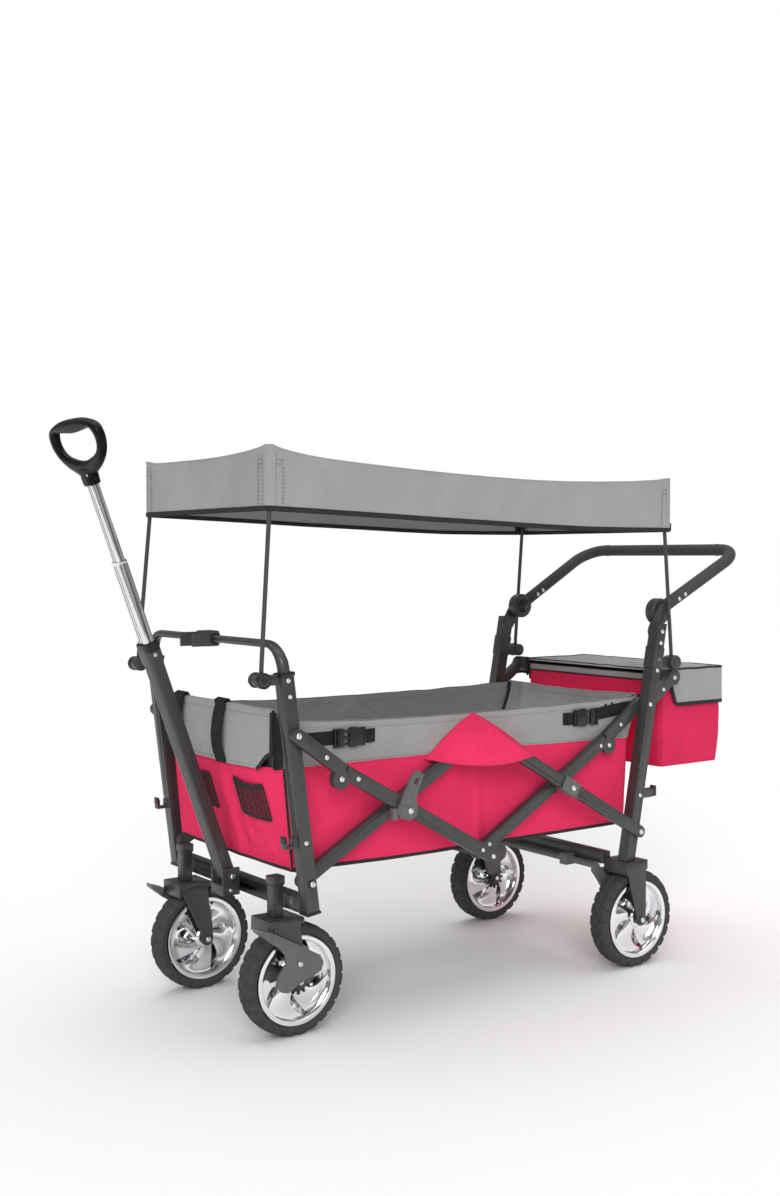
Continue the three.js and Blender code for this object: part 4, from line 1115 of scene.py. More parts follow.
def buckle(g, cx, cz, y, sg, d):
    """side-release buckle, centre (cx, cz); d is +1 where its plug points towards +X"""
    Y = lambda v: y + sg * v
    S = 1.27
    sl = lambda c, d_, *o: g.add(slab((cx + (c[0] - cx) * S, c[1], cz + (c[2] - cz) * S), (d_[0] * S, d_[1], d_[2] * S), *o))
    sl((cx + d * 11, Y(4.0), cz), (24, 7.0, 26), None, 0.3)        # socket
    sl((cx + d * 11, Y(7.9), cz), (17, 1.6, 11), None, 0.35)        # raised middle
    for k in (-1, 1):
        sl((cx + d * 7, Y(4.2), cz + k * 12.4), (11, 5.2, 4.2), None, 0.35)   # side catches
        sl((cx - d * 4.5, Y(4.0), cz + k * 9.0), (11, 4.4, 4.0), None, 0.3)   # plug arms
    sl((cx - d * 4.5, Y(4.0), cz), (11, 3.4, 5.2), None, 0.3)
    sl((cx - d * 13.5, Y(4.2), cz), (8.5, 6.2, 26), None, 0.3)      # plug base
    for q in (19.2, 24.4):
        sl((cx - d * q, Y(4.0), cz), (2.4, 5.0, 26), None, 0.3)     # ladder bars
    for k in (-1, 1):
        sl((cx - d * 21, Y(3.6), cz + k * 12.2), (12, 4.4, 2.6), None, 0.3)
    sl((cx + d * 25.4, Y(4.0), cz), (3.0, 5.0, 26), None, 0.3)
    for k in (-1, 1):
        sl((cx + d * 24, Y(3.6), cz + k * 12.0), (5, 4.4, 2.6), None, 0.3)
    for k in (-6, 0, 6):
        sl((cx + d * 11, Y(8.9), cz + k * 0.7), (13, 0.7, 1.0), None, 0.3)


for s, sg in SIDES:
    vs, fs, mids = tub_grid(sg)
    side = soft(f"tub_side_{s}_v", (vs, fs), ["pink", "grey", "grey_dark", "grey_dark"], "front_frame", "fabric_main", (0, sg, 0), t=1.2, mids=mids, moff=2, rim=0)
    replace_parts(side, f"tub_side_{s}")
    squash(side)
    # bindings and welts
    g = Mesh()
    bot = [(x, lin(BOTX, x) + 1.2) for x in np.linspace(-408, 413, 92)]
    g.add(ribbon([(x, tub_y(x, z, sg, 0), z) for x, z in bot], (0, 0, 1), 7.0, 3.4))
    bb = g.make(f"tub_side_{s}_binding", "binding", "front_frame", "fabric_main")
    squash(bb)
    g = Mesh()
    g.add(stitches(line_on_tub(sg, [(x, lin(BOTX, x) + 9.5) for x in np.linspace(-405, 410, 60)], 0.75, 120)), 0)
    g.add(stitches(line_on_tub(sg, [(x, lin(BNDX, x) - 2.2) for x in np.linspace(-430, 415, 60)], 0.75, 120)), 0)
    g.add(stitches(line_on_tub(sg, [(x, lin(BNDX, x) + 3.4) for x in np.linspace(-430, 415, 60)], 0.8, 120)), 1)
    g.add(stitches(line_on_tub(sg, [(x, lin(TOPX, x) - 12.5) for x in np.linspace(-430, 450, 60)], 0.8, 120)), 1)
    g.add(stitches(line_on_tub(sg, [(x, lin(BNDX, x) + 8.5) for x in np.linspace(-430, 415, 60)], -0.85, 120)), 1)
    g.add(stitches(line_on_tub(sg, [(x, lin(TOPX, x) - 12.5) for x in np.linspace(-430, 450, 60)], -0.85, 120)), 1)
    # raised welt along the inside, and along the folded top hem
    g.add(tube(line_on_tub(sg, [(x, lin(BNDX, x) + 2.5) for x in np.linspace(-430, 415, 60)], -1.2, 120), 0.9, 6), 1)
    g.add(tube([(p[0], tub_y(p[0], p[2] - 1, sg, 0.2), p[2] + 0.3) for p in [vs[i * 56 + 55] for i in range(191)]], 1.25, 8), 1)
    st = g.make(f"tub_side_{s}_seams", ["thread_pink", "thread"], "front_frame", "fabric_grey")
    squash(st)
    # lining patch that backs the flap: a stitched triangle inside
    n1, n2 = 40, 28
    vs2, fs2 = [], []
    for i in range(n1 + 1):
        for j in range(n2 + 1):
            a, t = i / n1, j / n2
            x = (-140 + 268 * a) * t + 0
            z = 552 - (72 * t) + 3 * t * math.sin(math.pi * a)
            puff = 2.6 * math.sin(math.pi * a) * math.sin(math.pi * min(1, t * 0.97)) + 0.9 * nz(x / 24, z / 24, 4.0 * sg)
            vs2.append((x, tub_y(x, z, sg, -1.5 - max(0, puff)), z))
    k = n2 + 1
    for i in range(n1):
        for j in range(n2):
            fs2.append((i * k + j, (i + 1) * k + j, (i + 1) * k + j + 1, i * k + j + 1))
    patch = soft(f"tub_lining_patch_{s}", (vs2, fs2), ["grey_dark"], "front_frame", "fabric_grey", (0, -sg, 0), t=0.8)
    squash(patch)
    g = Mesh()
    for pl in ([(-2, 550), (-140, 481)], [(2, 550), (128, 480)]):
        g.add(tube(line_on_tub(sg, pl, -2.3, 30), 1.0, 6))
    w = g.make(f"tub_lining_welt_{s}", "grey_dark", "front_frame", "fabric_grey")
    squash(w)
    fit(patch)
    fit(side)
    # outer flap
    vf, hem, hem2, le, ri = flap(sg)
    fl = soft(f"tub_flap_{s}", vf, ["pink"], "front_frame", "fabric_main", (0, sg, 0.2), t=1.1)
    squash(fl)
    g = Mesh()
    g.add(tube(hem, 1.1, 7), 0)
    g.add(stitches(hem2), 0)
    g.add(stitches(le), 0)
    g.add(stitches(ri), 0)
    fh = g.make(f"tub_flap_hem_{s}", "thread_pink", "front_frame", "fabric_main")
    squash(fh)
    fit(fl)
    # straps and buckles on the grey band
    g = Mesh()
    pts = [(-440, sg * 230.0, 536), (-430, sg * 222.5, 535)] + [(x, tub_y(x, 532, sg, 1.9), 532.5) for x in np.linspace(-418, -314, 18)]
    g.add(ribbon(pts, (0, 0, 1), 25, 1.5))
    pts = [(x, tub_y(x, 531, sg, 2.0 + (1.4 if 0.2 < (x + 262) / 32 < 0.8 else 0)), 531) for x in np.linspace(-264, -232, 9)]
    g.add(ribbon(pts, (0, 0, 1), 25, 1.6))
    g.add(ribbon([(p[0] + 1, p[1] + sg * 1.7, p[2]) for p in pts[:6]], (0, 0, 1), 25, 1.5))
    pts = [(x, tub_y(x, 527, sg, 2.0 + (1.4 if 0.2 < (x - 238) / 26 < 0.8 else 0)), 527) for x in np.linspace(238, 267, 8)]
    g.add(ribbon(pts, (0, 0, 1), 25, 1.6))
    g.add(ribbon([(p[0], p[1] + sg * 1.7, p[2]) for p in pts[2:]], (0, 0, 1), 25, 1.5))
    pts = [(x, tub_y(x, 527 + 0.11 * (x - 295), sg, 2.2), 527 + 0.11 * (x - 295)) for x in np.linspace(327, 408, 12)] + [(424, sg * 214, 541), (438, sg * 221, 543), (450, sg * 226.5, 545)]
    g.add(ribbon(pts, (0, 0, 1), 25, 1.5))
    for x0 in (356, 374):
        g.add(ribbon([(x0, tub_y(x0, 531, sg, 3.2), 517 + 0.11 * (x0 - 295)), (x0 + 1, tub_y(x0, 531, sg, 3.6), 530 + 0.11 * (x0 - 295)), (x0 + 2, tub_y(x0, 531, sg, 3.2), 544 + 0.11 * (x0 - 295))], (1, 0, 0), 6, 1.6))
    sp = g.make(f"tub_straps_{s}", "web", "front_frame", "fabric_grey")
    squash(sp)
    g = Mesh()
    buckle(g, -292, 531.5, tub_y(-292, 531, sg, 0.8), sg, 1)
    buckle(g, 298, 527.5, tub_y(298, 527, sg, 0.8), sg, -1)
    bk = g.make(f"tub_buckles_{s}", "black", "front_frame", "plastic_black")
    squash(bk)

# ------------------------------------------------------------------ front panel, with its overhanging top band
XE = lambda z: -409.0 - 0.095 * (z - 303)


def front_x(y, z, off=0.0):
    """outer face of the lower front panel"""
    t = min(1.0, max(0.0, (z - 303) / 179.0))
    mid = -411 - 41.0 * t ** 0.85
    e = 1 - min(1.0, abs(y) / 204.0) ** 5
    x = XE(z) + (mid - XE(z)) * e
    d = 2.2 * nz(y / 60.0, z / 50.0, 21) + 0.9 * nz(y / 20.0, z / 24.0, 31)
    d += crease(y, z, (-118, 385, -172, 318, 10, 3.2)) + crease(y, z, (-92, 380, -108, 345, 9, -2.4)) + crease(y, z, (-84, 350, -160, 330, 10, 2.2))
    d += crease(y, z, (-44, 478, -66, 320, 15, -4.0)) + crease(y, z, (60, 470, 40, 330, 14, -3.2)) + crease(y, z, (-190, 330, -60, 312, 7, 1.8))
    d += crease(y, z, (150, 460, 180, 340, 14, 2.4)) + crease(y, z, (-180, 470, -190, 350, 10, -2.0)) + crease(y, z, (-20, 440, -40, 320, 10, 2.4))
    return x - d * e - off


def front_sheet():
    nu, nv = 120, 52
    def f(u, v):
        y = -204.2 + 408.4 * u
        z = 303 + 183 * v
        return (front_x(y, z), y, z)
    return grid(nu, nv, f)


def band_x(y, z, off=0.0):
    """outer face of the grey band that hangs outside the top bar"""
    t = min(1.0, max(0.0, (z - 480) / 112.0))
    e = 1 - min(1.0, abs(y) / 204.0) ** 6
    x = -454.5 + 6.0 * t - 3.0 * math.sin(math.pi * t) * e + 7 * (1 - e) * (1 - t)
    d = 1.8 * nz(y / 75.0, z / 60.0, 41) + 0.8 * nz(y / 24.0, z / 28.0, 51)
    d += crease(y, z, (100, 560, 40, 505, 9, 3.4)) + crease(y, z, (64, 520, 10, 490, 8, -2.6)) + crease(y, z, (-40, 500, -110, 520, 10, 1.6)) + crease(y, z, (160, 570, 180, 500, 12, 1.6))
    d += crease(y, z, (-60, 575, -190, 570, 10, -1.2))
    return x - d * (0.3 + 0.7 * e) - off


def band_sheet():
    """from the chamfered lower edge up over the bar and down inside"""
    nu, nv, nt = 120, 34, 8
    def f(u, v):
        y = -200.0 + 400.0 * u
        lo = 481.5 + 30 * s01((abs(y) - 158) / 42.0) ** 0.8 + 1.2 * math.sin(y / 31.0)
        topz = 589.5 + 1.2 * nz(y / 50.0, 3.0, 1.0)
        n1 = nv / (nv + nt)
        if v <= n1:
            z = lo + (topz - 4.5 - lo) * (v / n1)
            return (band_x(y, z), y, z)
        a = (v - n1) / (1 - n1) * math.pi
        xo, xi = band_x(y, topz - 4.5), -438.0
        c, r = (xo + xi) / 2, (xi - xo) / 2
        return (c - r * math.cos(a), y, topz - 4.5 + 5.0 * math.sin(a) - (3.0 if a > 3 else 0))
    return grid(nu, nv + nt, f)


fp = soft("front_panel_v", front_sheet(), ["pink", "pink"], "front_frame", "fabric_main", (-1, 0, 0), t=1.2, moff=1)
fb = soft("front_band_v", band_sheet(), ["grey"], "front_frame", "fabric_grey", lambda c: (-1, 0, 0.6), t=1.3)
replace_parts(fp, "tub_front_panel")


def inner_front(u, v):
    y = -203.4 + 406.8 * u
    z = 301.2 + 284.8 * v
    x = XE(z) + 3.5 + 4.5 * (1 - s01((z - 330) / 90.0)) + 2.2 * nz(y / 70.0, z / 60.0, 61) - 2.0 * math.sin(math.pi * v) + 0.8 * nz(y / 22.0, z / 22.0, 62)
    if v > 0.9:
        x += (-438.0 - x) * s01((v - 0.9) / 0.1)
    return (x, y, z)


fi = soft("front_lining_v", grid(90, 60, inner_front), ["grey_dark"], "front_frame", "fabric_grey", (1, 0, 0), t=1.0)
fit(fi)
# bound seams down the inner corners
g = Mesh()
for sg in (-1, 1):
    g.add(tube([(XE(z) + 0.6, sg * (205.2 + 0.8 * s01((z - 480) / 80.0)), z) for z in np.linspace(301.5, 583, 40)], 2.5, 10))
g.make("front_corner_piping", "binding", "front_frame", "fabric_grey")
g = Mesh()
g.add(ribbon([(front_x(y, 304.5), y, 304.5) for y in np.linspace(-204, 204, 60)], (0, 0, 1), 7.5, 3.4), 0)
for sg in (-1, 1):
    g.add(tube([(front_x(sg * 203.6, z) - 0.8, sg * 203.8, z) for z in np.linspace(305, 484, 30)], 1.5, 8), 1)
g.add(stitches([(front_x(y, 313, 0.8), y, 313) for y in np.linspace(-200, 200, 80)]), 2)
g.add(stitches([(front_x(y, 478, 0.8), y, 478) for y in np.linspace(-200, 200, 80)]), 2)
fpb = g.make("front_panel_binding", ["binding", "pink", "thread_pink"], "front_frame", "fabric_main")
g = Mesh()
for sg in (-1, 1):
    edge = [(band_x(sg * 199.4, z, 0), sg * 199.8, z) for z in np.linspace(512, 585, 16)]
    cham = []
    for y in np.linspace(199.6, 159, 12):
        z = 481.5 + 30 * s01((y - 158) / 42.0) ** 0.8 + 1.2 * math.sin(sg * y / 31.0)
        cham.append((band_x(sg * y, z, 0), sg * y, z + 0.6))
    g.add(ribbon(list(reversed(edge)) + cham, (0, 1, -0.4 * sg), 7.5, 3.4), 0)
g.add(stitches([(band_x(y, 577, 0.9), y, 577) for y in np.linspace(-194, 194, 80)]), 1)
g.add(stitches([(band_x(y, 487, 0.9), y, 487 + 1.2 * math.sin(y / 31.0)) for y in np.linspace(-150, 150, 70)]), 1)
fbb = g.make("front_band_binding", ["binding", "thread"], "front_frame", "fabric_grey")
# black sheets that close the gap between the band and the side
g = Mesh()
for sg in (-1, 1):
    def gap_sheet(u, v, sg=sg):
        z = 484 + 100 * v
        xa, xb = XE(z) - 0.5, band_x(sg * 196, z) + 3.0
        x = xa + (xb - xa) * u
        return (x, sg * (204.0 - 4.5 * math.sin(math.pi * u) * (0.6 + 0.4 * math.sin(v * 9))), z)
    g.add(grid(14, 36, gap_sheet))
gs_ = g.make("front_gap_black_sheets", "binding", None, "fabric_grey")
gm = gs_.modifiers.new("thick", "SOLIDIFY")
gm.thickness, gm.offset = 0.001, 0.0
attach(gs_, "front_frame")
# pull straps over the band, and the pockets
g = Mesh()
for yc, lean_, off in ((132, -8, 9.0), (-28, -7, 8.0)):
    pts = [(-436.5, yc + 2, 574), (-438.5, yc + 1, 588), (-446, yc, 596.5), (-455, yc - 0.5, 593.5)]
    for t in np.linspace(0.06, 1, 16):
        z = 590 - 107 * t
        y = yc + lean_ * t
        bulge = off * math.sin(math.pi * min(1, t * 1.02)) ** 0.8
        pts.append((band_x(y, max(z, 481), 1.6) - bulge, y, z))
    pts.append((band_x(yc + lean_, 481, 0.4), yc + lean_, 480))
    g.add(ribbon(pts, (0, 1, 0), 38, 2.2))
    for sgn in (-1, 1):
        g.add(tube([(p[0] - 1.0, p[1] + sgn * 15.5, p[2]) for p in pts[3:-1]], 0.6, 5))
fs_ = g.make("front_pull_straps", "web", "front_frame", "fabric_grey")


def pocket(y0, y1, shift, name):
    """elastic-topped net pocket between y0 (towards +Y) and y1, its foot shifted by shift"""
    nu, nv = 56, 34
    def f(u, v):
        z = 394 + 62 * v - 5 * u * 1.0
        y = y0 + (y1 - y0) * u + shift * (1 - v)
        puff = 7.5 * math.sin(math.pi * u) ** 0.6 * (0.35 + 0.65 * math.sin(math.pi * min(1, 0.15 + 0.75 * v)))
        gather = (1.6 * math.sin(u * 34) + 0.9 * math.sin(u * 71 + 1)) * (0.25 + 0.75 * v) * math.sin(math.pi * u) ** 0.4
        dip = -5.5 * math.sin(math.pi * u) * v ** 3
        return (front_x(y, z, 1.2 + puff + gather), y, z + dip)
    vf = grid(nu, nv, f)
    o = soft(name, vf, ["net"], "front_frame", "fabric_grey", (-1, 0, 0), t=0.9)
    g = Mesh()
    top = [f(u, 1.0) for u in np.linspace(0, 1, 50)]
    g.add(ribbon([(p[0] - 0.6, p[1], p[2] - 2) for p in top], (0, 0, 1), 9.5, 2.6))
    for u in (0, 1):
        g.add(ribbon([(f(u, v)[0] - 0.6, f(u, v)[1], f(u, v)[2]) for v in np.linspace(0, 1, 14)], (0, 1, 0), 6, 2.0))
    g.add(ribbon([(f(u, 0)[0] - 0.6, f(u, 0)[1], f(u, 0)[2]) for u in np.linspace(0, 1, 30)], (0, 0, 1), 5, 2.0))
    for k in range(9):
        u = 0.08 + 0.84 * k / 8
        g.add(tube([tuple(np.array(f(u + 0.012 * math.sin(3 * v + k), v)) + np.array([-0.9, 0, 0])) for v in np.linspace(0.05, 0.93, 10)], 0.8, 6))
    b = g.make(name + "_elastic", "binding", "front_frame", "fabric_grey")
    fit(o)


pocket(-68, -156, -12, "front_pocket_near")
pocket(114, 27, -16, "front_pocket_far")
fit(fp)
fit(fb)

# ------------------------------------------------------------------ rear panel
def rear_pt(u, v):
    y = -204.2 + 408.4 * u
    top = 566 - 5.0 * math.sin(math.pi * u) + 1.4 * nz(y / 55.0, 7.0, 2.0)
    z = 297.5 + (top - 297.5) * v
    x = rear_x((z - 297) / 265.0) - 0.7
    e = s01(u / 0.05) * s01((1 - u) / 0.05)
    d = 3.0 * math.sin(math.pi * v) * math.sin(math.pi * u) + 2.2 * nz(y / 70.0, z / 60.0, 71) + 0.9 * nz(y / 22.0, z / 25.0, 72)
    d += crease(y, z, (150, 560, 138, 470, 12, 5.0)) + crease(y, z, (120, 560, 60, 480, 16, -2.4)) + crease(y, z, (-60, 555, -150, 480, 14, 2.0))
    return (x - d * e * 0.8, y, z)


rp = soft("rear_panel_v", grid(100, 66, rear_pt), ["grey", "pink"], "rear_frame", "fabric_grey", (-1, 0, 0.1), t=1.3, moff=1)
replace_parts(rp, "tub_rear_panel")
g = Mesh()
g.add(tube([(rear_pt(u, 1)[0], rear_pt(u, 1)[1], rear_pt(u, 1)[2] + 0.3) for u in np.linspace(0.005, 0.995, 60)], 1.5, 8), 0)
g.add(ribbon([rear_pt(u, 0.004) for u in np.linspace(0, 1, 40)], (0, 0, 1), 7, 3.4), 1)
for u in (0.004, 0.996):
    g.add(tube([rear_pt(u, v) for v in np.linspace(0.01, 0.99, 30)], 1.6, 8), 0)
# webbing that ties the panel's upper corners to the posts
for sg in (-1, 1):
    g.add(ribbon([(449, sg * 196, 556), (452.5, sg * 205, 556.5), (452, sg * 216, 557), (450, sg * 228, 557.5)], (0, 0, 1), 18, 1.7), 1)
    g.add(ribbon([rear_pt(0.5 + sg * 0.487, v)[:1][0:0] or (rear_pt(0.5 + sg * 0.487, v)[0] - 1.6, rear_pt(0.5 + sg * 0.487, v)[1], rear_pt(0.5 + sg * 0.487, v)[2]) for v in np.linspace(0.45, 0.99, 14)], (0, 1, 0), 9, 2.0), 1)
g.add(stitches([(rear_pt(u, 0.955)[0] - 1.0, rear_pt(u, 0.955)[1], rear_pt(u, 0.955)[2]) for u in np.linspace(0.01, 0.99, 80)]), 2)
rb = g.make("rear_panel_binding", ["grey", "binding", "thread"], "rear_frame", "fabric_grey")
fit(rp)

# ------------------------------------------------------------------ padded floor boards
def board(name, x0, x1, body):
    nu, nv = 46, 50
    lo, hi = 300.2, 307.4
    def top(u, v):
        x, y = x0 + (x1 - x0) * u, -199.4 + 398.8 * v
        e = (1 - abs(2 * u - 1) ** 14) * (1 - abs(2 * v - 1) ** 14)
        return (x, y, lo + 2.4 + (hi - lo - 2.4) * e ** 0.5 + 0.8 * e * (0.4 + nz(x / 60.0, y / 60.0, 80)))
    def bot(u, v):
        x, y = x0 + (x1 - x0) * u, -199.4 + 398.8 * v
        e = (1 - abs(2 * u - 1) ** 18) * (1 - abs(2 * v - 1) ** 18)
        return (x, y, lo + 2.4 - 2.3 * e ** 0.5)
    g = Mesh()
    g.add(grid(nu, nv, top))
    v, f = grid(nu, nv, bot)
    g.add((v, [tuple(reversed(q)) for q in f]))
    o = g.make(name, "board", body, "board_fabric", angle=60)
    g = Mesh()
    loop = [(x0 + 8, -191), (x1 - 8, -191), (x1 - 8, 191), (x0 + 8, 191), (x0 + 8, -191)]
    for a, b in zip(loop[:-1], loop[1:]):
        n = 40
        P = [(a[0] + (b[0] - a[0]) * k / n, a[1] + (b[1] - a[1]) * k / n) for k in range(n + 1)]
        g.add(stitches([(x, y, top((x - x0) / (x1 - x0), (y + 199.4) / 398.8)[2] + 0.35) for x, y in P], 0.6))
    g.make(name + "_stitches", "thread", body, "board_fabric")
    return o


b1 = board("floor_front_v", -398, -37.4, "floor_f")
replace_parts(b1, "floor_front")
b2 = board("floor_rear_v", 32, 389.6, "floor_b")
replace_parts(b2, "floor_rear")

# the cloth floor of the tub, under the boards and over the middle cross tube
def floor_pt(u, v):
    w = 2 * v - 1
    y = math.copysign(205.7 * (1 - (1 - abs(w)) ** 1.6), w)
    x = -408.2 + 820.2 * u ** 1.3
    z = 298.4 + 0.45 * nz(x / 70.0, y / 60.0, 91) * s01((200 - abs(y)) / 40.0)
    side = s01((abs(y) - 200.6) / 4.6)
    z += side * max(0.0, lin(BOTX, x) + 0.6 - 298.4)
    z += (1 - side) * s01((-400.5 - x) / 6.5) * 3.6
    return (x, y, z)


cloth = soft("tub_floor_cloth", grid(130, 60, floor_pt), ["grey_dark"], "front_frame", "fabric_grey", (0, 0, 1), t=1.0)
squash(cloth)

# ------------------------------------------------------------------ canopy
CX0, CX1, CY = -475.0, 526.0, 235.0
EDGE = [(-475, 1048), (-452, 1042.8), (-429, 1038.2), (-390, 1032.4), (-348, 1028), (-295, 1024.4), (-239, 1021), (-160, 1016.6), (-75, 1012.8), (15, 1009.6), (104, 1007.2), (166, 1006.8), (228, 1007.3), (310, 1009.4), (400, 1013), (460, 1017.0), (507, 1021.0), (526, 1021.5)]
HEM = [(-475, 937.5), (-360, 933.5), (-239, 929.1), (-100, 923.6), (40, 919), (160, 914.6), (277, 911.4), (400, 911.2), (526, 912)]


def edge_side(x):
    return lin(EDGE, x)


def edge_front(y):
    q = abs(y) / CY
    return 1048 - 12.6 * (1 - q ** 2.2) ** 0.85


def edge_rear(y):
    q = abs(y) / CY
    return 1021.5 - 13.0 * (1 - q ** 2.2) ** 0.9


def canopy_top(x, y):
    u, v = (x - CX0) / (CX1 - CX0), (y + CY) / (2 * CY)
    a = edge_side(x)
    b = edge_front(y) * (1 - u) + edge_rear(y) * u
    c = 1048 * (1 - u) + 1021.5 * u
    z = a + b - c
    e = (math.sin(math.pi * min(1, max(0, u))) * math.sin(math.pi * min(1, max(0, v))))
    z -= 9.0 * e ** 0.7
    # ridges that run out of the corners, and slack ripples
    for cx, cy in ((CX0, -CY), (CX0, CY), (CX1, -CY), (CX1, CY)):
        dx, dy = abs(x - cx), abs(y - cy)
        r = math.hypot(dx, dy)
        z += 4.5 * math.exp(-((dx * 0.75 - dy) / (9 + 0.22 * r)) ** 2) * math.exp(-r / 95.0) * s01(r / 12)
    z += e * (1.6 * nz(x / 90.0, y / 60.0, 90) + 0.7 * nz(x / 30.0, y / 28.0, 91))
    z -= 4.5 * math.exp(-((x - CX0) / 120.0) ** 2) * s01((y - 60) / 175.0)
    return z


def corner_round(x, y, r=11.0):
    mx, my = (CX0 + CX1) / 2, 0.0
    hx, hy = (CX1 - CX0) / 2, CY
    dx, dy = abs(x - mx) - (hx - r), abs(y) - (hy - r)
    if dx > 0 and dy > 0:
        m_, l_ = max(dx, dy), math.hypot(dx, dy)
        k = m_ / l_
        dx, dy = dx * k, dy * k
        return mx + math.copysign(hx - r + dx, x - mx), math.copysign(hy - r + dy, y)
    return x, y


def spaced(n):
    """0..1, closer together near both ends"""
    return [0.5 - 0.5 * math.cos(math.pi * i / n) * (1 - 0.0) if False else (0.55 * i / n + 0.45 * (0.5 - 0.5 * math.cos(math.pi * i / n))) for i in range(n + 1)]


def canopy_mesh():
    nx, ny, ns = 130, 66, 20
    ux, uy = spaced(nx), spaced(ny)
    vs, fs = [], []
    def top(i, j):
        x0, y0 = CX0 + (CX1 - CX0) * ux[i], -CY + 2 * CY * uy[j]
        x, y = corner_round(x0, y0)
        return (x, y, canopy_top(x0, y0))
    for i in range(nx + 1):
        for j in range(ny + 1):
            vs.append(top(i, j))
    k = ny + 1
    for i in range(nx):
        for j in range(ny):
            fs.append((i * k + j, (i + 1) * k + j, (i + 1) * k + j + 1, i * k + j + 1))
    per = [(i, 0) for i in range(nx)] + [(nx, j) for j in range(ny)] + [(i, ny) for i in range(nx, 0, -1)] + [(0, j) for j in range(ny, 0, -1)]
    n = len(per)
    rows = [[i * k + j for i, j in per]]
    def skirt(idx, v):
        i, j = per[idx]
        x0, y0 = CX0 + (CX1 - CX0) * ux[i], -CY + 2 * CY * uy[j]
        x, y, zt = top(i, j)
        zh = lin(HEM, x0)
        z = zt + (zh - zt) * v
        onx = i in (0, nx)
        ony = j in (0, ny)
        q = (abs(y0) / CY) if (onx and not ony) else (abs(x0 - 25.5) / 500.5)
        free = 1 - min(1, q) ** 6
        b = -2.6 * math.sin(math.pi * v * 0.85) * free
        s_ = x0 if ony else y0
        b += free * v * (1.5 * nz(s_ / 55.0, v * 0.8, 95 + (1 if onx else 0)) + 0.8 * nz(s_ / 19.0, v * 1.5, 97))
        ln = math.hypot(x - 25.5, y)
        ox = (-1 if i == 0 else 1 if i == nx else 0)
        oy = (-1 if j == 0 else 1 if j == ny else 0)
        return (x + ox * b, y + oy * b, z)
    for r in range(1, ns + 1):
        base = len(vs)
        for idx in range(n):
            vs.append(skirt(idx, r / ns))
        rows.append(list(range(base, base + n)))
    for r in range(ns):
        for idx in range(n):
            i2 = (idx + 1) % n
            fs.append((rows[r][idx], rows[r][i2], rows[r + 1][i2], rows[r + 1][idx]))
    return vs, fs, rows


vs, fs, rows = canopy_mesh()
can = soft("canopy_v", (vs, fs), ["grey"], "front_frame", "fabric_grey", lambda c: (c.x - 18.7, c.y * 2, c.z - 960), t=1.3, angle=80)
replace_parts(can, "canopy")
squash(can)
g = Mesh()
hem = [vs[i] for i in rows[-1]]
g.add(ribbon([(p[0], p[1], p[2] + 2.6) for p in hem], (0, 0, 1), 9.5, 3.6, closed=True), 0)
# the seam between the top and the skirt, and the seams down the corners
g.add(tube([(p[0], p[1], p[2]) for p in (vs[i] for i in rows[0])], 1.35, 8, closed=True), 1)
g.add(stitches([vs[i] for i in rows[1]], 0.75), 2)
for cx, cy in ((CX0, -CY), (CX0, CY), (CX1, -CY), (CX1, CY)):
    sx, sy = (1 if cx < 0 else -1), (1 if cy < 0 else -1)
    zt, zh = (1046.5 if cx < 0 else 1020.5), lin(HEM, cx)
    q = 11 * (1 - 1 / math.sqrt(2))
    g.add(tube([(cx + sx * q, cy + sy * q, z) for z in np.linspace(zh + 5, zt - 1, 16)], 1.3, 8), 1)
    for d in (16, 29, 32):
        for kind in (0, 1):
            x = cx + sx * (d if kind else -0.9 * sx * sx)
            if kind:
                zt2 = edge_side(cx + sx * d) - 8
                pts = [(cx + sx * d, cy - sy * 0.85, z) for z in np.linspace(zh + 9, zt2 - (14 if d == 32 else 0), 20)]
            else:
                zt2 = (edge_front(abs(CY - d)) if cx < 0 else edge_rear(abs(CY - d))) - 8
                pts = [(cx - sx * 0.85, cy + sy * d, z) for z in np.linspace(zh + 9, zt2 - (14 if d == 32 else 0), 20)]
            g.add(stitches(pts, 0.5), 2)
    for zz in (zt - 22, zt - 30):
        g.add(stitches([(cx + sx * 16, cy - sy * 0.85, zz), (cx + sx * 31, cy - sy * 0.85, zz - 2)], 0.7), 2)
        g.add(stitches([(cx - sx * 0.85, cy + sy * 16, zz), (cx - sx * 0.85, cy + sy * 31, zz)], 0.7), 2)
cb = g.make("canopy_binding", ["binding", "grey", "thread"], "front_frame", "fabric_grey")
squash(cb)
# pole pockets inside the corners
g = Mesh()
for cx, cy in ((-466, -227), (-466, 227), (512, -227.5), (512, 227.5)):
    zt, zh = (1030 if cx < 0 else 1004), lin(HEM, cx)
    g.add(turned([(5.2, 0), (6.0, 2), (6.2, 30), (6.0, 62), (5.4, 78), (3.0, 84), (0.01, 85)] if cx < 0 else [(5.2, 0), (6.0, 2), (6.2, 30), (6.0, 66), (5.4, 82), (3.0, 88), (0.01, 89)], 20, (cx, cy, zh + 12), axis="z"))
for cx, cy in ((-466, -227), (-466, 227), (512, -227.5), (512, 227.5)):
    zh, sy = lin(HEM, cx), (1 if cy > 0 else -1)
    g.add(ribbon([(cx - 17, sy * 230.5, zh + 9), (cx - 6, sy * 231.6, zh + 9), (cx + 6, sy * 231.6, zh + 9), (cx + 17, sy * 230.5, zh + 9)] if cx > 0 else [(cx - 5, sy * 230.5, zh + 9), (cx + 6, sy * 231.6, zh + 9), (cx + 24, sy * 230.8, zh + 9)], (0, 0, 1), 17, 1.6))
cp = g.make("canopy_pole_pockets", "binding", "front_frame", "fabric_grey")
squash(cp)
fit(can)

# ------------------------------------------------------------------ basket
BX0, BX1, BY = 521.5, 710.5, 212.5


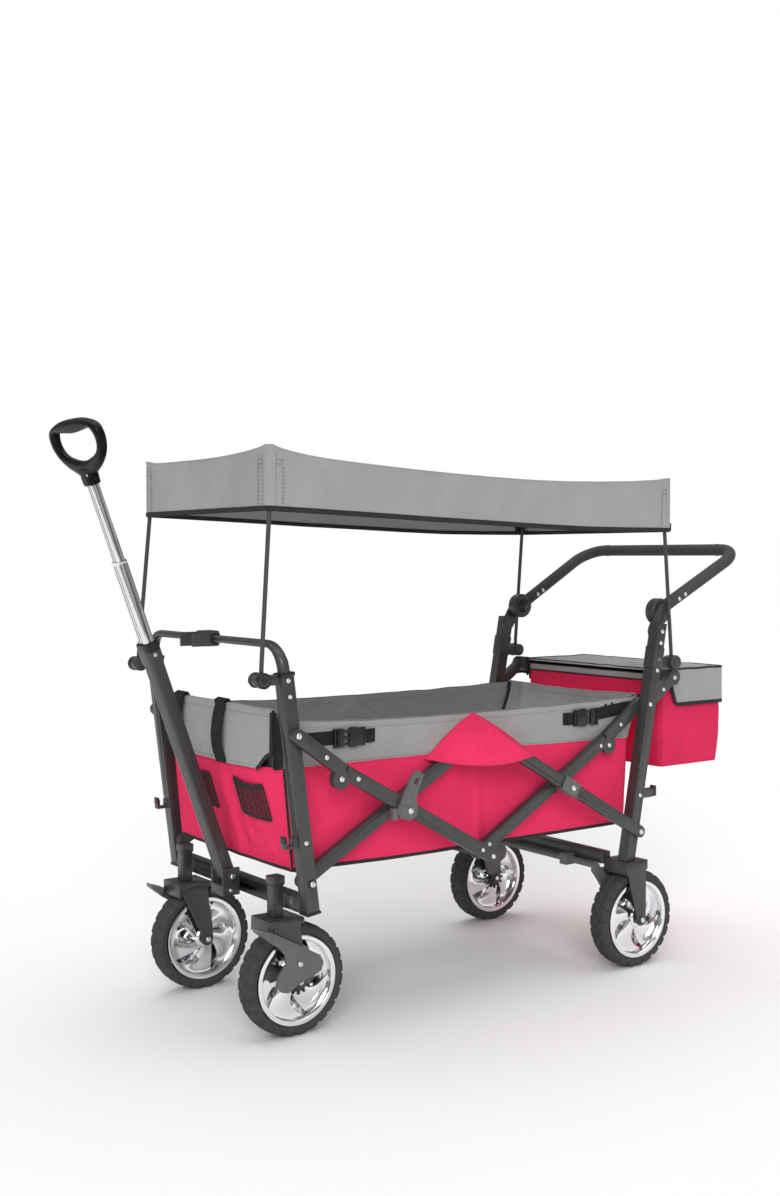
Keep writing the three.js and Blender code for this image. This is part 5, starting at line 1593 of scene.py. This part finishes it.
def rrect(x0, x1, hy, r, n_side=40, n_end=22, n_c=7):
    """closed loop of (x, y, nx, ny), counter-clockwise from the -Y side"""
    pts = []
    def arc_(cx, cy, a0):
        for k in range(n_c + 1):
            a = math.radians(a0 + 90 * k / n_c)
            pts.append((cx + r * math.cos(a), cy + r * math.sin(a), math.cos(a), math.sin(a)))
    def line(xa, ya, xb, yb, nx_, ny_, n):
        for k in range(1, n):
            pts.append((xa + (xb - xa) * k / n, ya + (yb - ya) * k / n, nx_, ny_))
    line(x0 + r, -hy, x1 - r, -hy, 0, -1, n_end)
    arc_(x1 - r, -hy + r, -90)
    line(x1, -hy + r, x1, hy - r, 1, 0, n_side)
    arc_(x1 - r, hy - r, 0)
    line(x1 - r, hy, x0 + r, hy, 0, 1, n_end)
    arc_(x0 + r, hy - r, 90)
    line(x0, hy - r, x0, -hy + r, -1, 0, n_side)
    arc_(x0 + r, -hy + r, 180)
    return pts


LOOP = rrect(BX0, BX1, BY, 13)


def basket_pt(k, z, off=0.0):
    x, y, a, b = LOOP[k % len(LOOP)]
    t = (z - 402) / 200.0
    # the walls lean in a little and swell below the middle
    endq = min(1.0, abs(y) / BY) if abs(a) > 0.7 else min(1.0, abs(x - 616) / 95.0)
    free = 1 - endq ** 5
    sw = 4.0 * math.sin(math.pi * min(1, max(0, t)) ** 0.8) * free
    tuck = -7.0 * (1 - t) ** 5
    d = sw + tuck
    s_ = x if abs(b) > 0.7 else y
    d += (0.4 + 0.6 * free) * (2.0 * nz(s_ / 50.0 + 3 * a, z / 45.0, 101) + 0.9 * nz(s_ / 17.0 + 5 * b, z / 21.0, 103))
    if b < -0.5 or b > 0.5:
        for c in ((690, 575, 600, 440, 9, 2.6), (660, 560, 580, 430, 8, -2.2), (700, 520, 640, 420, 9, 2.0), (570, 560, 550, 430, 7, -1.6), (620, 450, 560, 412, 9, 1.6)):
            d += crease(x, z, c)
    elif a > 0.5 or a < -0.5:
        for c in ((-150, 590, -60, 430, 14, 2.4), (140, 590, 60, 430, 14, 2.4), (-40, 560, 60, 520, 16, -1.8), (0, 420, 120, 440, 12, 1.6), (-190, 440, -80, 415, 10, -1.6)):
            d += crease(y, z, c)
    d = max(-9.0, min(4.0 - 3.6 * s01((z - 495) / 45.0), d))
    return (x + a * (d + off), y + b * (d + off), z)


def basket_mesh():
    n = len(LOOP)
    zs = [404, 407, 412] + list(np.linspace(420, 604, 38))
    vs = []
    for z in zs:
        for k in range(n):
            vs.append(basket_pt(k, z))
    fs = []
    for r in range(len(zs) - 1):
        for k in range(n):
            k2 = (k + 1) % n
            fs.append((r * n + k, r * n + k2, (r + 1) * n + k2, (r + 1) * n + k))
    # bottom, with a slight sag
    prev = list(range(n))
    cx = (BX0 + BX1) / 2
    for q in (0.97, 0.93, 0.85, 0.72, 0.55, 0.36, 0.16):
        base = len(vs)
        for k in range(n):
            p = vs[k]
            vs.append((cx + (p[0] - cx) * q, p[1] * q, 404 - 4.2 * (1 - q ** 3) + 0.8 * nz(p[0] * q / 40, p[1] * q / 40, 107)))
        cur = list(range(base, base + n))
        for k in range(n):
            k2 = (k + 1) % n
            fs.append((cur[k], cur[k2], prev[k2], prev[k]))
        prev = cur
    fs.append(tuple(reversed(prev)))
    return vs, fs


# the basket's walls wear the darker pink copy: painted shade
bas = soft("basket_v", basket_mesh(), ["pink_basket_shaded", "grey_dark"], "rear_frame", "fabric_main", lambda c: (c.x - 609, c.y * 0.5, (c.z - 520) * 0.4), t=1.3, moff=1, angle=75)
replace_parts(bas, "basket")
g = Mesh()
nl = len(LOOP)
for cx, cy in ((BX0, -BY), (BX1, -BY), (BX1, BY), (BX0, BY)):
    k = min(range(nl), key=lambda i: (LOOP[i][0] - cx) ** 2 + (LOOP[i][1] - cy) ** 2)
    g.add(tube([basket_pt(k, z, 0.3) for z in np.linspace(405, 603, 40)], 1.5, 8), 0)
g.add(tube([basket_pt(k, 405, 0.2) for k in range(nl)], 1.5, 8, closed=True), 0)
kk = [k for k in range(nl) if LOOP[k][2] < -0.5]
g.add(ribbon([basket_pt(k, 596.5, 1.3) for k in kk], (0, 0, 1), 13, 1.4), 3)
g.add(ribbon([basket_pt(k, 589.5, 1.9) for k in kk], (0, 0, 1), 3.2, 1.8), 1)
g.add(ribbon([basket_pt(k, 603.6, 1.4) for k in kk], (0, 0, 1), 3.2, 1.6), 1)
g.add(ribbon([basket_pt(k, 602, -0.4) for k in range(nl)], (0, 0, 1), 5, 2.6, closed=True), 1)
for cy in (-BY, BY):
    k = min(range(nl), key=lambda i: (LOOP[i][0] - BX0 - 3) ** 2 + (LOOP[i][1] - cy) ** 2)
    g.add(ribbon([basket_pt(k, z, 1.6) for z in np.linspace(566, 602, 12)], (1, 0, 0), 9, 2.0), 1)
for off in (8,):
    g.add(stitches([basket_pt(k, 414, 0.9) for k in range(nl)]), 2)
# the basket's binding also wears the darker pink copy: painted shade
bb_ = g.make("basket_binding", ["pink_basket_shaded", "binding", "thread_pink", "grey"], "rear_frame", "fabric_main")
# cloth loops that hold the basket on the frame's short arms
g = Mesh()
for sg in (-1, 1):
    g.add(ribbon([(524, sg * 214, 578), (523, sg * 222, 585), (521, sg * 236, 586), (517, sg * 249, 584)], (0, 0, 1), 16, 2.0))
g.make("basket_loops", "web", "rear_frame", "fabric_grey")

# ------------------------------------------------------------------ basket lid
LLOOP = rrect(519.0, 715.0, 216.5, 9)


def lid_low(x, y, a):
    """lower edge of the lid's side band"""
    if a < -0.5:
        return 611.0
    if x < 566:
        return 611 + (537 - 611) * s01((x - 532) / 32.0)
    return 537.0


def lid_ring(k, v):
    """v 0 at the lower edge, 1 at the top edge"""
    x, y, a, b = LLOOP[k % len(LLOOP)]
    lo, hi = lid_low(x, y, a), 613.5 + 1.0 * nz(x / 40, y / 40, 3)
    z = lo + (hi - lo) * v
    endq = min(1.0, abs(y) / 216) if abs(a) > 0.7 else min(1.0, abs(x - 617) / 98.0)
    free = 1 - endq ** 5
    d = (1.2 + 1.8 * (1 - v)) * free + (0.4 + 0.6 * free) * (1.2 * nz((x if abs(b) > 0.7 else y) / 45.0, z / 35.0, 111) + 0.5 * nz((x if abs(b) > 0.7 else y) / 16.0, z / 16.0, 113))
    d *= 1 - v * 0.7
    return (x + a * d, y + b * d, z)


def lid_mesh():
    n = len(LLOOP)
    nv = 14
    vs, fs = [], []
    for r in range(nv + 1):
        for k in range(n):
            vs.append(lid_ring(k, r / nv))
    for r in range(nv):
        for k in range(n):
            k2 = (k + 1) % n
            fs.append((r * n + k, r * n + k2, (r + 1) * n + k2, (r + 1) * n + k))
    prev = list(range(nv * n, nv * n + n))
    cx = 617.0
    for q in (0.985, 0.96, 0.92, 0.86, 0.78, 0.68, 0.56, 0.42, 0.27, 0.12):
        base = len(vs)
        for k in range(n):
            p = vs[nv * n + k]
            x, y = cx + (p[0] - cx) * q, p[1] * q
            lift = 6.5 * (1 - q ** 2.2) - 3.0 * math.exp(-((x - 600) / 40) ** 2 - ((y + 30) / 90) ** 2)
            vs.append((x, y, p[2] + lift + (1 - q) * 2.2 * nz(x / 42.0, y / 55.0, 121) + 0.5 * nz(x / 15.0, y / 17.0, 123) * (1 - q ** 4)))
        cur = list(range(base, base + n))
        for k in range(n):
            k2 = (k + 1) % n
            fs.append((prev[k], prev[k2], cur[k2], cur[k]))
        prev = cur
    fs.append(tuple(prev))
    return vs, fs


lv, lf_ = lid_mesh()
lid = soft("basket_lid_v", (lv, lf_), ["grey"], "lid", "fabric_grey", lambda c: (c.x - 610, c.y * 0.5, (c.z - 560)), t=1.3, angle=75)
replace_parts(lid, "basket_lid")
g = Mesh()
ln_ = len(LLOOP)
g.add(tube([(max(lid_ring(k, 1)[0], 520.4), lid_ring(k, 1)[1], lid_ring(k, 1)[2] + 0.4) for k in range(ln_)], 2.3, 10, closed=True), 0)
ks = [k for k in range(ln_) if LLOOP[k][2] >= -0.5 or True]
run = [k for k in range(ln_) if LLOOP[k][2] >= -0.2]
ki = max(range(len(run) - 1), key=lambda i: run[i + 1] - run[i]) + 1 if max(np.diff(run)) > 1 else 0
run = run[ki:] + run[:ki]
rp_ = [np.array(lid_ring(k, 0)) for k in run]
g.add(ribbon([(p[0], p[1], p[2] + 1.0) for p in rp_], [(-(rp_[min(i + 1, len(rp_) - 1)] - rp_[max(i - 1, 0)])[2], 0, abs((rp_[min(i + 1, len(rp_) - 1)] - rp_[max(i - 1, 0)])[0]) + abs((rp_[min(i + 1, len(rp_) - 1)] - rp_[max(i - 1, 0)])[1]) + 1e-6) for i in range(len(rp_))], 8.0, 3.4), 0)
for cx, cy in ((715, -216.5), (715, 216.5)):
    k = min(range(ln_), key=lambda i: (LLOOP[i][0] - cx) ** 2 + (LLOOP[i][1] - cy) ** 2)
    g.add(tube([lid_ring(k, v) for v in np.linspace(0.04, 0.97, 14)], 1.5, 8), 1)
g.add(stitches([lid_ring(k, 0.12) for k in range(ln_) if lid_low(*[LLOOP[k][0], LLOOP[k][1], LLOOP[k][2]]) < 540], 0.9), 2)
lb = g.make("basket_lid_binding", ["binding", "grey", "thread"], "lid", "fabric_grey")

# ------------------------------------------------------------------ push bar: foam-covered tube and hub discs
def rounded_path(P, r, n=9):
    P = [np.array(p, float) for p in P]
    out = [P[0]]
    for i in range(1, len(P) - 1):
        a, b, c = P[i - 1], P[i], P[i + 1]
        u, w = (a - b) / np.linalg.norm(a - b), (c - b) / np.linalg.norm(c - b)
        ang = math.acos(max(-1, min(1, float(u @ w))))
        d = r / math.tan(ang / 2)
        bis = (u + w) / np.linalg.norm(u + w)
        cen = b + bis * r / math.sin(ang / 2)
        s0, s1 = b + u * d - cen, b + w * d - cen
        tot = math.acos(max(-1, min(1, float(s0 @ s1) / (r * r))))
        for k in range(n + 1):
            t = k / n
            out.append(cen + (math.sin((1 - t) * tot) * s0 + math.sin(t * tot) * s1) / math.sin(tot))
    out.append(P[-1])
    dense = []
    for a, b in zip(out[:-1], out[1:]):
        m_ = max(1, int(np.linalg.norm(b - a) / 18))
        dense += [a + (b - a) * k / m_ for k in range(m_)]
    return dense + [out[-1]]


dx, dz = 745 - 500, 873 - 741
dn = math.hypot(dx, dz)
s0 = (500 + dx * 12 / dn, 741 + dz * 12 / dn)
path = rounded_path([[s0[0], -221.3, s0[1]], [745, -240, 873], [745, 240, 873], [s0[0], 221.3, s0[1]]], 55)
g = Mesh()
g.add(tube(path, 13.0, 28), 0)
for s, sg in SIDES:
    # hub disc, dished on the outside, with a raised ring and a rim inside
    g.add(turned([(14.6, 9.0), (14.6, 0.6), (16.0, -0.6), (18.6, -0.6), (19.6, 0.4), (19.6, 1.6), (24.5, 1.6), (27.2, 2.6), (28.0, 4.6), (28.0, 20.0), (27.2, 22.4), (25.0, 23.4), (22.6, 23.4), (21.8, 22.4), (21.4, 20.8), (0.01, 20.4)], 64, (500, sg * 208.2, 741), flip=sg), 1)
    g.add(turned([(14.6, 9.0), (0.01, 9.0)], 64, (500, sg * 208.2, 741), flip=sg), 1)
    for k in range(8):
        a = 2 * math.pi * k / 8
        g.add(tube([(500 + 22.0 * math.cos(a), sg * 209.9, 741 + 22.0 * math.sin(a)), (500 + 24.4 * math.cos(a), sg * 209.9, 741 + 24.4 * math.sin(a))], 0.7, 6), 1)
pbv = g.make("push_bar_v", ["foam", "pgrey_dark"], "push", "foam_grip", angle=38)
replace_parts(pbv, "push_bar")
# front bow: a flat-oval tube, deep along X and thin across, round where it enters the posts and the handle clip
bp_ = rounded_path([(fpx(616), -244.5, 616), (fpx(706), -244.5, 706), (fpx(706), 244.5, 706), (fpx(616), 244.5, 616)], 44, 14)
g = Mesh()
bv, bf, nb_ = [], [], 28
for i in range(len(bp_)):
    p = bp_[i]
    tg = bp_[min(i + 1, len(bp_) - 1)] - bp_[max(i - 1, 0)]
    tg = tg / np.linalg.norm(tg)
    ux = np.array((1.0, 0, 0)) - tg * tg[0]
    ux /= np.linalg.norm(ux)
    wx = np.cross(tg, ux)
    fat = max(s01((694 - p[2]) / 22.0), 1 - s01((abs(p[1]) - 14.2) / 0.8))
    wr = 6.9 + 3.9 * fat
    for k in range(nb_):
        a = 2 * math.pi * k / nb_
        bv.append(tuple(p + 10.9 * math.cos(a) * ux + wr * math.sin(a) * wx))
for i in range(len(bp_) - 1):
    for k in range(nb_):
        k2 = (k + 1) % nb_
        bf.append((i * nb_ + k, i * nb_ + k2, (i + 1) * nb_ + k2, (i + 1) * nb_ + k))
bf.append(tuple(range(nb_ - 1, -1, -1)))
bf.append(tuple((len(bp_) - 1) * nb_ + k for k in range(nb_)))
g.add((bv, bf))
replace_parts(g.make("front_bow_v", "steel", "front_frame", "steel_coated", angle=50), "front_bow")
# clip on the bow: a body round the tube, two jaws towards the handle and a ribbed collar
bx_ = fpx(706)
g = Mesh()
g.add(slab((bx_ - 4, 7.5, 706), (32, 35, 29), None, 0.12))
g.add(slab((bx_ - 17, -17.4, 706), (6, 16, 24), None, 0.2))
for y_ in (-23, 23):
    g.add(slab(((-508 + bx_ - 14) / 2, y_, 705), (bx_ - 14 + 508, 5, 24 if y_ < 0 else 26), None, 0.25))
g.add(turned([(10.0, -1.6), (13.4, -1.6), (14.4, -0.6), (14.4, 0.6), (13.4, 1.6), (10.0, 1.6)], 8, (bx_, -12, 706)))
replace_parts(g.make("handle_clip_v", "pgrey_dark", "front_frame", "plastic_black"), "handle_clip")
g = Mesh()
for sgn in (-1, 1):
    # end sleeves of the foam cover
    for t in (0.20,):
        i = int(len(path) * (t if sgn < 0 else 1 - t))
    g.add(turned([(13.0, -3), (13.8, -2), (13.8, 2), (13.0, 3)], 28, (745, sgn * 172, 873)))
g.make("push_bar_sleeve_rings", "foam", "push", "foam_grip")
for s, sg in SIDES:
    g = Mesh()
    g.add(turned([(0.01, -1.2), (6.5, -1.0), (8.6, 0.3), (10.8, 1.4), (12.6, 1.6), (13.6, 2.6), (13.6, 7.0)], 48, (500, sg * 204.6, 741), flip=sg))
    o = g.make(f"hub_button_{s}_v", "black", f"button_{s}", "plastic_black")
    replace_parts(o, f"hub_button_{s}")
